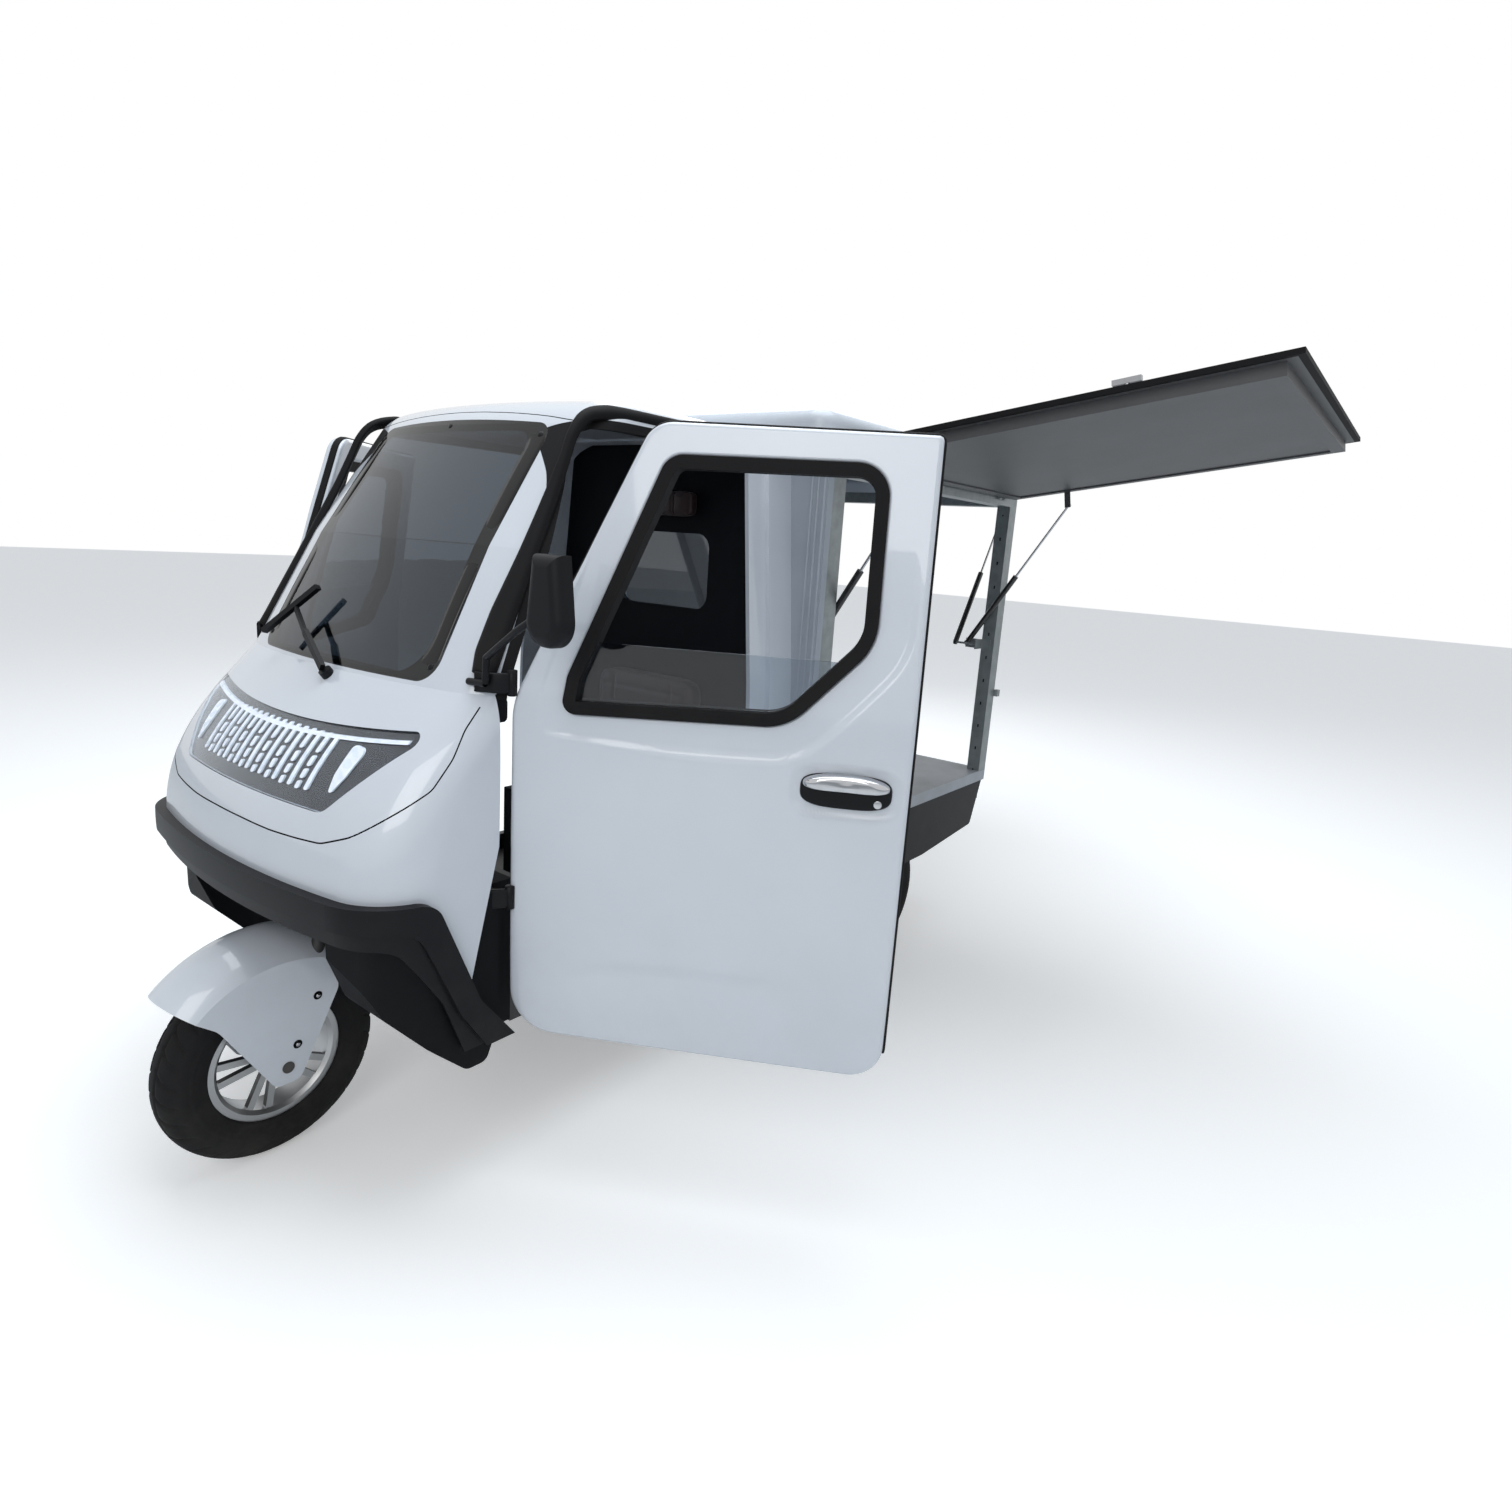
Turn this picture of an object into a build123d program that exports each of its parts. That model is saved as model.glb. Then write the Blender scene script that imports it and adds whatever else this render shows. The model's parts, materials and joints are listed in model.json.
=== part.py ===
"""Electric cargo tricycle with a closed cab and an open-sided cargo box.

Millimetres. X forward, Y to the vehicle's left, Z up from the top of the cargo floor.
"""
from build123d import *
import os
from math import cos, degrees, atan2, hypot, radians, sin, tan

os.makedirs("parts", exist_ok=True)

# Stance
FLOOR_HEIGHT = 607
WHEEL_RADIUS = 236
TRACK = 930
TYRE_WIDTH = 104
WHEEL_TO_SIDE = 52     # from a rear tyre's outer side to the side of the box
AXLE_AHEAD = 1240      # from the front of the box to the front axle
RIM_RADIUS = 143
GROUND = -FLOOR_HEIGHT
AXLE_Z = GROUND + WHEEL_RADIUS
REAR_AXLE_X = 0

# Clearances
MOVE_GAP = 6           # between a moving panel and what it closes against
PIN_GAP = 0.5          # between a pin or shaft and its bore
SEAT_GAP = 0.3         # around a soft cushion

# Cargo box
BOX_LENGTH = 1300
BOX_WIDTH = TRACK + TYRE_WIDTH + 2 * WHEEL_TO_SIDE
FLOOR_PLATE = 28
FLOOR_LIP = 42
FLOOR_DECK = 3
OPENING_HEIGHT = 1019
POST_X = 60
POST_Y = 50
POST_WALL = 4
RAIL_HEIGHT = 40
FRONT_WALL = 25
ROOF_TOP = 1169
ROOF_OVERHANG_X = 55
ROOF_OVERHANG_Y = 47
ROOF_EDGE = 74
ROOF_REACH = 100
ROOF_RING = 34
BOX_REAR = -BOX_LENGTH / 2
BOX_FRONT = BOX_LENGTH / 2
BOX_SIDE = BOX_WIDTH / 2
RAIL_TOP = OPENING_HEIGHT + RAIL_HEIGHT
ROOF_FRONT = BOX_FRONT + ROOF_REACH
FRONT_AXLE_X = BOX_FRONT + AXLE_AHEAD

# Flaps: two sides and the rear hatch share one build, hinged at the top
FLAP_DROP = 1075
FLAP_OPEN = 99.3
FLAP_BOARD = 28
FLAP_SKIN = 12
FLAP_FLANGE = 35
FLAP_RUBBER = 14
FLAP_TOP_GAP = 12
FLAP_BORDER = 34
FLAP_RECESS = 5
FLAP_FACE = FLAP_BOARD + FLAP_SKIN
LATCH_IN = 70
LATCH_DROP = 732
HINGE_UP = 23
HINGE_R = 5
HINGE_PIN_R = 2
HINGE_MIDDLE = 22
HINGE_OUTER = 20
HINGE_PLACES = (-0.4, 0, 0.4)
SIDE_FLAP_REAR = BOX_REAR + 30
SIDE_FLAP_FRONT = BOX_FRONT + 15
SIDE_FLAP_LENGTH = SIDE_FLAP_FRONT - SIDE_FLAP_REAR
HATCH_LENGTH = BOX_WIDTH - 80
HINGE_Z = OPENING_HEIGHT + HINGE_UP

# Gas struts, in the flap's own side view: outwards and up from the hinge
STRUT_FOOT = (-110, -542)
STRUT_EYE_ALONG = 212
STRUT_EYE_IN = 47
STRUT_TUBE = 314
STRUT_TUBE_R = 10
STRUT_ROD_R = 4
STRUT_ROD = 318
STRUT_PIN_R = 4
STRUT_EYE_R = 7
STRUT_SIDE = 15
STRUT_SHUT = 330
STRUT_SHUT_LEAN = 10.8
HATCH_STRUT_Y = 430

# Cab body, given as plan sections; every x of the cab is measured from its back
DOOR_BOTTOM = -228
CAB_BACK = BOX_FRONT
CAB_WALL = 25
CAB_HALF = 500
BELT_Z = 497
EAVE_Z = 1047
EAVE_HALF = 440
FRONT_BOW = 62
# height, reach to the front at the centre plane, half width, corner radius
NOSE_REACH = 1285
NOSE_CORNER = 130
NOSE_SECTIONS = ((DOOR_BOTTOM, NOSE_REACH, CAB_HALF, NOSE_CORNER), (123, 1312, 500, 140), (256, 1280, 500, 140),
                 (408, 1175, 497, 130), (BELT_Z, 1089, 490, 110))
GLASS_SECTIONS = ((BELT_Z, 1089, 490, 110), (780, 940, 464, 105), (EAVE_Z, 764, EAVE_HALF, 100))
ROOF_SECTIONS = ((EAVE_Z, 764, EAVE_HALF, 100), (1086, 722, 428, 100), (1114, 640, 370, 95),
                 (1124, 500, 250, 80))

# Doors
DOOR_HINGE_X = CAB_BACK + 970
DOOR_HINGE_Y = 500
DOOR_WIDTH = 790
DOOR_THICK = 42
DOOR_TOP = 1034
DOOR_PROUD = 4
LEFT_DOOR_OPEN = 60.6
RIGHT_DOOR_OPEN = 38.0
SEAL_WIDTH = 25
DOOR_GLASS = 5
GLASS_TOP = 612
# door outline and window outline: distance back from the hinge, height, corner radius
DOOR_OUTLINE = ((0, DOOR_BOTTOM, 95), (DOOR_WIDTH, DOOR_BOTTOM, 70), (DOOR_WIDTH, DOOR_TOP, 10),
                (250, DOOR_TOP, 60), (0, 483, 180))
WINDOW_OUTLINE = ((104, 471, 25), (548, 484, 110), (702, 648, 110), (700, 978, 60),
                  (284, 974, 45), (114, 545, 60))

# Windscreen outline: half width and height of each corner
SCREEN_BOTTOM = (356, 497)
SCREEN_TOP = (326, 1047)
SCREEN_CORNER = 45
SCREEN_THICK = 8

# Steering
RAKE = 18
STEER_BEHIND = 35
STEER_RANGE = 35
HEAD_LOW = -10
HEAD_HIGH = 150
STEM_R = 16
HEAD_WALL = 6
BAR_Z = 350
BAR_HALF = 290
BAR_R = 11
GRIP_R = 17


def plan_section(z, reach, half, corner, inset=0.0):
    """Plan outline of the cab at one height: square back, straight sides, bowed front."""
    tip = CAB_BACK + reach - inset
    side = half - inset
    with BuildSketch(Plane.XY.offset(z)) as section:
        with BuildLine():
            edge = Polyline((tip - FRONT_BOW, -side), (CAB_BACK + inset, -side), (CAB_BACK + inset, side),
                            (tip - FRONT_BOW, side))
            ThreePointArc(edge @ 1, (tip, 0), edge @ 0)
        make_face()
        fillet(section.vertices().group_by(Axis.X)[-1], corner - inset)
    return section.sketch


def cab_envelope(inset):
    """Closed outer form of the cab, brought in by the inset on every side but the bottom."""
    with BuildPart() as form:
        for number, table in enumerate((NOSE_SECTIONS, GLASS_SECTIONS, ROOF_SECTIONS)):
            drop = inset if number == 2 else 0
            faces = [plan_section(z - drop * (row > 0), reach, half, corner, inset)
                     for row, (z, reach, half, corner) in enumerate(table)]
            loft(faces, ruled=number == 1)
    return form.part


def side_prism(points, low_y, high_y, from_x=0.0):
    """Prism across the vehicle from a side outline of x beyond from_x, z and corner radius."""
    with BuildPart() as prism:
        with BuildSketch(Plane.XZ.offset(-high_y)) as outline:
            with BuildLine():
                Polyline([(from_x + x, z) for x, z, radius in points], close=True)
            make_face()
            for x, z, radius in points:
                if radius:
                    fillet(outline.vertices().sort_by_distance((from_x + x, z, 0))[0], radius)
        extrude(amount=high_y - low_y)
    return prism.part


def door_points(table):
    """Side outline of the closed door from distances back from its hinge."""
    return [(DOOR_HINGE_X - back, z, radius) for back, z, radius in table]


def grown(points, amount):
    """Side outline, offset outwards by an amount, as a sketch face."""
    with BuildSketch(Plane.XZ) as outline:
        with BuildLine():
            Polyline([(x, z) for x, z, radius in points], close=True)
        make_face()
        for x, z, radius in points:
            fillet(outline.vertices().sort_by_distance((x, z, 0))[0], radius)
        offset(amount=amount, mode=Mode.REPLACE)
    return outline.sketch


def across(face, low_y, high_y):
    """Prism across the vehicle from a face in the XZ plane."""
    with BuildPart() as prism:
        add(extrude(face, amount=high_y - low_y, dir=(0, 1, 0)).moved(Location((0, low_y, 0))))
    return prism.part


def keep(name, solid):
    """Labels one finished piece and writes it."""
    solid.label = name
    export_step(solid, f"parts/{name}.step")


# Cargo floor with its turned-down edge; its deck stands clear of the posts and the front wall
FRAME_FRONT = BOX_FRONT - FRONT_WALL
FRAME_LENGTH = FRAME_FRONT - BOX_REAR
FRAME_MID = (FRAME_FRONT + BOX_REAR) / 2
with BuildPart() as cargo_floor:
    with Locations((0, 0, -FLOOR_LIP / 2)):
        Box(BOX_LENGTH, BOX_WIDTH, FLOOR_LIP)
    with Locations((BOX_FRONT, 0, 0)):
        Box(2 * (FRONT_WALL + PIN_GAP), BOX_WIDTH, 2 * FLOOR_DECK, mode=Mode.SUBTRACT)
    for corner_x in (BOX_REAR, FRAME_FRONT):
        for corner_y in (-BOX_SIDE, BOX_SIDE):
            with Locations((corner_x, corner_y, 0)):
                Box(2 * (POST_X + PIN_GAP), 2 * (POST_Y + PIN_GAP), 2 * FLOOR_DECK, mode=Mode.SUBTRACT)
    with Locations((0, 0, -FLOOR_PLATE - (FLOOR_LIP - FLOOR_PLATE) / 2)):
        Box(BOX_LENGTH - 2 * POST_WALL, BOX_WIDTH - 2 * POST_WALL, FLOOR_LIP - FLOOR_PLATE,
            mode=Mode.SUBTRACT)
keep("cargo_floor", cargo_floor.part)

# Where each flap's hinge line runs: its length, its place and how it faces
side_mid = (SIDE_FLAP_REAR + SIDE_FLAP_FRONT) / 2
hinge_y = BOX_SIDE + MOVE_GAP
hinge_lines = ((SIDE_FLAP_LENGTH, Location((side_mid, hinge_y, HINGE_Z))),
               (SIDE_FLAP_LENGTH, Location((side_mid, -hinge_y, HINGE_Z), (0, 0, 180))),
               (HATCH_LENGTH, Location((BOX_REAR - MOVE_GAP, 0, HINGE_Z), (0, 0, 90))))

# Galvanised posts and top rails
FOOT_PLATE = 4
FOOT_PLATE_HIGH = 36
FOOT_PLATE_WIDE = 100
POST_HEIGHT = OPENING_HEIGHT + FLOOR_DECK
POST_MID = (OPENING_HEIGHT - FLOOR_DECK) / 2
with BuildPart() as cargo_frame:
    with Locations((FRAME_MID, 0, OPENING_HEIGHT + RAIL_HEIGHT / 2)):
        Box(FRAME_LENGTH, BOX_WIDTH, RAIL_HEIGHT)
        Box(FRAME_LENGTH - 2 * POST_X, BOX_WIDTH - 2 * POST_X, RAIL_HEIGHT, mode=Mode.SUBTRACT)
    for x_side in (-1, 1):
        for y_side in (-1, 1):
            post_x = FRAME_MID + x_side * (FRAME_LENGTH - POST_X) / 2
            post_y = y_side * (BOX_SIDE - POST_Y / 2)
            with Locations((post_x, post_y, POST_MID)):
                Box(POST_X, POST_Y, POST_HEIGHT)
            with Locations((post_x, post_y - y_side * POST_WALL, POST_MID)):
                Box(POST_X - 2 * POST_WALL, POST_Y - POST_WALL, POST_HEIGHT, mode=Mode.SUBTRACT)
    # Outer knuckles, webs and pins of the flap hinges
    for length, place in hinge_lines:
        for share in HINGE_PLACES:
            for end in (-1, 1):
                knuckle_x = share * length + end * (HINGE_MIDDLE + HINGE_OUTER + 2 * PIN_GAP) / 2
                with Locations(place * Location((knuckle_x, -MOVE_GAP / 2, -HINGE_R / 2))):
                    Box(HINGE_OUTER, MOVE_GAP, HINGE_R)
                with Locations(place * Location((knuckle_x, 0, 0), (0, 90, 0))):
                    Cylinder(HINGE_R, HINGE_OUTER)
            with Locations(place * Location((share * length, 0, 0), (0, 90, 0))):
                Cylinder(HINGE_PIN_R, HINGE_MIDDLE + 2 * HINGE_OUTER + 2)
    # Foot plates and pins of the struts
    foot_z = HINGE_Z + STRUT_FOOT[1]
    for x_side, face_x in ((1, BOX_REAR + POST_X), (-1, FRAME_FRONT - POST_X)):
        for y_side in (-1, 1):
            foot_y = y_side * (hinge_y + STRUT_FOOT[0])
            with Locations((face_x + x_side * FOOT_PLATE / 2, foot_y + y_side * 40, foot_z)):
                Box(FOOT_PLATE, FOOT_PLATE_WIDE, FOOT_PLATE_HIGH)
            with Locations(Location((face_x + x_side * (STRUT_SIDE + 8) / 2, foot_y, foot_z), (0, 90, 0))):
                Cylinder(STRUT_PIN_R, STRUT_SIDE + 8)
    foot_x = BOX_REAR - MOVE_GAP - STRUT_FOOT[0]
    for y_side in (-1, 1):
        with Locations(((BOX_REAR + foot_x + 12) / 2, y_side * (BOX_SIDE - POST_Y - FOOT_PLATE / 2), foot_z)):
            Box(foot_x + 12 - BOX_REAR, FOOT_PLATE, FOOT_PLATE_HIGH)
        pin_mid = (BOX_SIDE - POST_Y + HATCH_STRUT_Y - 8) / 2
        with Locations(Location((foot_x, y_side * pin_mid, foot_z), (90, 0, 0))):
            Cylinder(STRUT_PIN_R, BOX_SIDE - POST_Y - HATCH_STRUT_Y + 8)
    # Catches at the rear corners
    for y_side in (-1, 1):
        with Locations((BOX_REAR - 6, y_side * (BOX_SIDE + 8), 310)):
            Box(24, 16, 26)
keep("cargo_frame", cargo_frame.part)

# Front wall of the box, with the opening behind the cab window
WALL_WINDOW = (370, 222)
WALL_WINDOW_Z = 728
with BuildPart() as cargo_front_wall:
    with BuildSketch(Plane.YZ.offset(FRAME_FRONT)) as wall:
        with Locations((0, (RAIL_TOP - FLOOR_DECK) / 2)):
            Rectangle(BOX_WIDTH, RAIL_TOP + FLOOR_DECK)
        with Locations((0, WALL_WINDOW_Z)):
            RectangleRounded(WALL_WINDOW[0] + 30, WALL_WINDOW[1] + 30, 50, mode=Mode.SUBTRACT)
    extrude(amount=FRONT_WALL)
keep("cargo_front_wall", cargo_front_wall.part)

# Roof: a shallow crowned tray standing on the rails
ROOF_SIDE = BOX_SIDE + ROOF_OVERHANG_Y
ROOF_REAR = BOX_REAR - ROOF_OVERHANG_X
ROOF_SKIN = 22
RING_OUT = BOX_SIDE - POST_X + 11
with BuildPart() as cargo_roof:
    with BuildSketch(Plane.XY.offset(ROOF_TOP - ROOF_EDGE)):
        with Locations(((ROOF_REAR + ROOF_FRONT) / 2, 0)):
            RectangleRounded(ROOF_FRONT - ROOF_REAR, 2 * ROOF_SIDE, 60)
    extrude(amount=ROOF_EDGE)
    fillet(cargo_roof.faces().sort_by(Axis.Z)[-1].edges(), 34)
    with BuildSketch(Plane.XY.offset(ROOF_TOP - ROOF_EDGE)):
        with Locations((FRAME_MID, 0)):
            Rectangle(FRAME_LENGTH - 2 * POST_X, 2 * RING_OUT - 2 * ROOF_RING)
    extrude(amount=ROOF_EDGE - ROOF_SKIN, mode=Mode.SUBTRACT)
    with BuildSketch(Plane.XY.offset(RAIL_TOP)):
        with Locations((FRAME_MID, 0)):
            Rectangle(FRAME_LENGTH - 2 * POST_X + 22, 2 * RING_OUT)
            Rectangle(FRAME_LENGTH - 2 * POST_X - 46, 2 * RING_OUT - 2 * ROOF_RING,
                      mode=Mode.SUBTRACT)
    extrude(amount=ROOF_TOP - ROOF_EDGE - RAIL_TOP)
keep("cargo_roof", cargo_roof.part)

# Black valances beside the rear wheels
SKIRT_LOW = -250
SKIRT_THICK = 8
with BuildPart() as rear_skirts:
    for y_side in (-1, 1):
        outer = y_side * (BOX_SIDE - 6)
        add(side_prism(((BOX_REAR + 8, -FLOOR_LIP, 0), (BOX_REAR + 75, -215, 20),
                        (BOX_REAR + 480, SKIRT_LOW, 40), (BOX_FRONT - 90, SKIRT_LOW, 60),
                        (BOX_FRONT - 8, -FLOOR_LIP, 0)),
                       min(outer, outer - y_side * SKIRT_THICK),
                       max(outer, outer - y_side * SKIRT_THICK)))
    with Locations((BOX_REAR + 16, 0, -FLOOR_LIP - 40)):
        Box(SKIRT_THICK, 2 * (BOX_SIDE - 14), 80)
keep("rear_skirts", rear_skirts.part)

# Tail lamps on the rear apron
with BuildPart() as tail_lamps:
    with BuildSketch(Plane.YZ.offset(BOX_REAR + 12)):
        for y_side in (-1, 1):
            with Locations((y_side * (BOX_SIDE - 110), -FLOOR_LIP - 42)):
                RectangleRounded(150, 46, 14)
    extrude(amount=-24)
keep("tail_lamps", tail_lamps.part)

# Ladder frame with its gooseneck and steering head
RAIL_Y = 250
RAIL_W = 40
FRAME_TOP = -FLOOR_LIP
FRAME_RAIL_H = 50
CAB_FLOOR_Z = -225
CAB_FLOOR_THICK = 20
CAB_FLOOR_FRONT = CAB_BACK + 925
SPRING_HALF = 300
SHACKLE_IN = 6
SILL_Y = 450
axis_dir = (-sin(radians(RAKE)), 0, cos(radians(RAKE)))
axis_base = (FRONT_AXLE_X - STEER_BEHIND / cos(radians(RAKE)), 0, AXLE_Z)


def on_steering_axis(z):
    """Point of the steering axis at a height."""
    return (axis_base[0] - (z - AXLE_Z) * tan(radians(RAKE)), 0, z)


def axis_plane(z):
    """Plane square to the steering axis at a height."""
    return Plane(origin=on_steering_axis(z), x_dir=(cos(radians(RAKE)), 0, sin(radians(RAKE))),
                 z_dir=axis_dir)


head_length = (HEAD_HIGH - HEAD_LOW) / cos(radians(RAKE))
with BuildPart() as chassis_frame:
    for y_side in (-1, 1):
        with BuildSketch(Plane.XZ.offset(-y_side * RAIL_Y - RAIL_W / 2)):
            with BuildLine():
                Polyline((BOX_REAR + 30, FRAME_TOP), (BOX_FRONT - 40, FRAME_TOP),
                         (BOX_FRONT + 20, CAB_FLOOR_Z - CAB_FLOOR_THICK),
                         (CAB_FLOOR_FRONT + 55, CAB_FLOOR_Z - CAB_FLOOR_THICK),
                         (CAB_FLOOR_FRONT + 55, CAB_FLOOR_Z - CAB_FLOOR_THICK - FRAME_RAIL_H),
                         (BOX_FRONT - 10, CAB_FLOOR_Z - CAB_FLOOR_THICK - FRAME_RAIL_H),
                         (BOX_FRONT - 80, FRAME_TOP - FRAME_RAIL_H),
                         (BOX_REAR + 30, FRAME_TOP - FRAME_RAIL_H), close=True)
            make_face()
        extrude(amount=RAIL_W)
    for cross_x in (BOX_REAR + 55, SHACKLE_IN - SPRING_HALF, SPRING_HALF - SHACKLE_IN, BOX_FRONT - 130):
        with Locations((cross_x, 0, FRAME_TOP - FRAME_RAIL_H / 2)):
            Box(RAIL_W, 2 * BOX_SIDE - 60, FRAME_RAIL_H)
    for cross_x in (CAB_BACK + 250, CAB_FLOOR_FRONT + 30):
        with Locations((cross_x, 0, CAB_FLOOR_Z - CAB_FLOOR_THICK - FRAME_RAIL_H / 2)):
            Box(50, 2 * RAIL_Y, FRAME_RAIL_H)
    with Locations((CAB_FLOOR_FRONT + 30, 0, -105)):
        Box(50, 60, 290)
    with BuildSketch(Plane.XZ.offset(-25)):
        with BuildLine():
            Polyline((CAB_FLOOR_FRONT + 5, 40), (CAB_FLOOR_FRONT + 60, -40),
                     (on_steering_axis(0)[0], 30), (on_steering_axis(110)[0], 110), close=True)
        make_face()
    extrude(amount=50)
    with BuildSketch(axis_plane(HEAD_LOW)):
        Circle(STEM_R + PIN_GAP + HEAD_WALL)
    extrude(amount=head_length)
    with BuildSketch(axis_plane(HEAD_LOW - 30)):
        Circle(STEM_R + PIN_GAP)
    extrude(amount=head_length + 60, mode=Mode.SUBTRACT)
keep("chassis_frame", chassis_frame.part)

# Rear axle with its drive unit and leaf springs
AXLE_R = 24
SPRING_Y = TRACK / 2 - TYRE_WIDTH / 2 - 83
SPRING_W = 45
with BuildPart() as rear_axle:
    with Locations(Location((REAR_AXLE_X, 0, AXLE_Z), (90, 0, 0))):
        Cylinder(AXLE_R, TRACK - TYRE_WIDTH - 40)
        Cylinder(13, TRACK + 20)
        Cylinder(95, 150)
    with Locations(Location((REAR_AXLE_X + 130, 0, AXLE_Z + 10), (90, 0, 0))):
        Cylinder(78, 190)
    for y_side in (-1, 1):
        with Locations((REAR_AXLE_X, y_side * SPRING_Y, AXLE_Z + AXLE_R + 14)):
            Box(110, SPRING_W + 12, 40)
        with BuildSketch(Plane.XZ.offset(-y_side * SPRING_Y - SPRING_W / 2)):
            with BuildLine():
                low = ThreePointArc((-SPRING_HALF, -150), (0, AXLE_Z + AXLE_R + 30), (SPRING_HALF, -150))
                high = ThreePointArc((SPRING_HALF, -128), (0, AXLE_Z + AXLE_R + 58), (-SPRING_HALF, -128))
                Line(low @ 1, high @ 0)
                Line(high @ 1, low @ 0)
            make_face()
        extrude(amount=SPRING_W)
        for end in (-1, 1):
            with Locations((end * (SPRING_HALF - SHACKLE_IN), y_side * SPRING_Y, -118)):
                Box(30, SPRING_W, 52)
keep("rear_axle", rear_axle.part)


def tyre(width, centre):
    """Round-shouldered tyre about an axle along Y."""
    half = width / 2
    with BuildPart() as ring:
        with BuildSketch(Plane.YZ) as profile:
            with BuildLine():
                bead = Polyline((-half + 14, RIM_RADIUS), (-half + 2, RIM_RADIUS + 22),
                                (-half + 2, WHEEL_RADIUS - 40))
                crown = ThreePointArc(bead @ 1, (0, WHEEL_RADIUS), (half - 2, WHEEL_RADIUS - 40))
                other = Polyline(crown @ 1, (half - 2, RIM_RADIUS + 22), (half - 14, RIM_RADIUS))
                Line(other @ 1, bead @ 0)
            make_face()
        revolve(axis=Axis.Y)
    return ring.part.moved(Location(centre))


def rim(width, centre, face_side):
    """Cast wheel: barrel, ten paired spokes and hub about an axle along Y."""
    half = width / 2 - 15
    with BuildPart() as wheel:
        with BuildSketch(Plane.YZ) as profile:
            with BuildLine():
                Polyline((-half, RIM_RADIUS - 0.3), (half, RIM_RADIUS - 0.3), (half, RIM_RADIUS - 14),
                         (half - 8, RIM_RADIUS - 22), (-half + 8, RIM_RADIUS - 22),
                         (-half, RIM_RADIUS - 14), close=True)
            make_face()
        revolve(axis=Axis.Y)
        with Locations(Location((0, 0, 0), (90, 0, 0))):
            Cylinder(36, 2 * half)
        with BuildSketch(Plane.XZ.offset(-face_side * half * 0.55 - 7)) as spokes:
            with PolarLocations(0, 5):
                for lean in (-1, 1):
                    with Locations(Location((80, lean * 16), lean * 8)):
                        Rectangle(110, 15)
        extrude(amount=14)
        with Locations(Location((0, 0, 0), (90, 0, 0))):
            Cylinder(14, 2 * half + 2, mode=Mode.SUBTRACT)
    return wheel.part.moved(Location(centre))


# Wheels
for name, centre, face_side in (("front", (FRONT_AXLE_X, 0, AXLE_Z), 1),
                                ("rear_left", (REAR_AXLE_X, TRACK / 2, AXLE_Z), 1),
                                ("rear_right", (REAR_AXLE_X, -TRACK / 2, AXLE_Z), -1)):
    keep(f"{name}_tyre", tyre(TYRE_WIDTH, centre))
    keep(f"{name}_rim", rim(TYRE_WIDTH, centre, face_side))

# Fork, stem and front axle
FORK_Y = 72
FORK_LEG_R = 15
with BuildPart() as fork:
    with BuildSketch(axis_plane(HEAD_LOW - 45)):
        Circle(STEM_R)
    extrude(amount=(BAR_Z - HEAD_LOW + 45) / cos(radians(RAKE)))
    with BuildSketch(axis_plane(HEAD_LOW - 45)):
        with Locations((STEER_BEHIND / 2, 0)):
            RectangleRounded(STEER_BEHIND + 50, 2 * FORK_Y + 40, 20)
    extrude(amount=30)
    for y_side in (-1, 1):
        with BuildSketch(axis_plane(AXLE_Z)):
            with Locations((STEER_BEHIND, y_side * FORK_Y)):
                Circle(FORK_LEG_R)
        extrude(amount=(HEAD_LOW - 40 - AXLE_Z) / cos(radians(RAKE)))
    with Locations(Location((FRONT_AXLE_X, 0, AXLE_Z), (90, 0, 0))):
        Cylinder(13, 2 * FORK_Y + 44)
keep("steering_fork", fork.part)

# Handlebar
with BuildPart() as handlebar:
    bar_x = on_steering_axis(BAR_Z)[0]
    with BuildLine(Plane.XY.offset(BAR_Z)):
        path = Polyline((bar_x - 95, -BAR_HALF), (bar_x - 55, -150), (bar_x, -60), (bar_x, 60),
                        (bar_x - 55, 150), (bar_x - 95, BAR_HALF))
    with BuildSketch(Plane(origin=path @ 0, z_dir=path % 0)):
        Circle(BAR_R)
    sweep(path=path, transition=Transition.ROUND)
    with Locations((bar_x, 0, BAR_Z + 4)):
        Box(50, 60, 34)
    add(fork.part, mode=Mode.SUBTRACT)
keep("handlebar", handlebar.part)


# Front mudguard over the wheel
FENDER_R = WHEEL_RADIUS + 66
FENDER_HALF = 92
FENDER_WALL = 4
FENDER_SHOULDER = 55
# what is cut away below and behind it, in side view from the axle
FENDER_CUT = ((-400, -400, 0), (400, -400, 0), (400, 350, 0), (137, 142, 60), (28, -38, 24), (-26, -38, 24),
              (-117, 148, 30), (-117, 400, 0), (-400, 400, 0))
with BuildPart() as front_fender:
    for radius, half, mode in ((FENDER_R, FENDER_HALF, Mode.ADD),
                               (FENDER_R - FENDER_WALL, FENDER_HALF - FENDER_WALL, Mode.SUBTRACT)):
        with BuildSketch(Plane.YZ):
            with BuildLine():
                skin = Polyline((-half, 0), (-half, radius - FENDER_SHOULDER))
                bow = ThreePointArc(skin @ 1, (0, radius), (half, radius - FENDER_SHOULDER))
                Polyline(bow @ 1, (half, 0), skin @ 0)
            make_face()
        revolve(axis=Axis.Y, mode=mode)
    add(side_prism(FENDER_CUT, -FENDER_HALF - 1, FENDER_HALF + 1), mode=Mode.SUBTRACT)
with BuildPart() as front_mudguard:
    add(front_fender.part.moved(Location((FRONT_AXLE_X, 0, AXLE_Z))))
    add(fork.part, mode=Mode.SUBTRACT)
keep("front_fender", front_mudguard.part)

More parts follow.
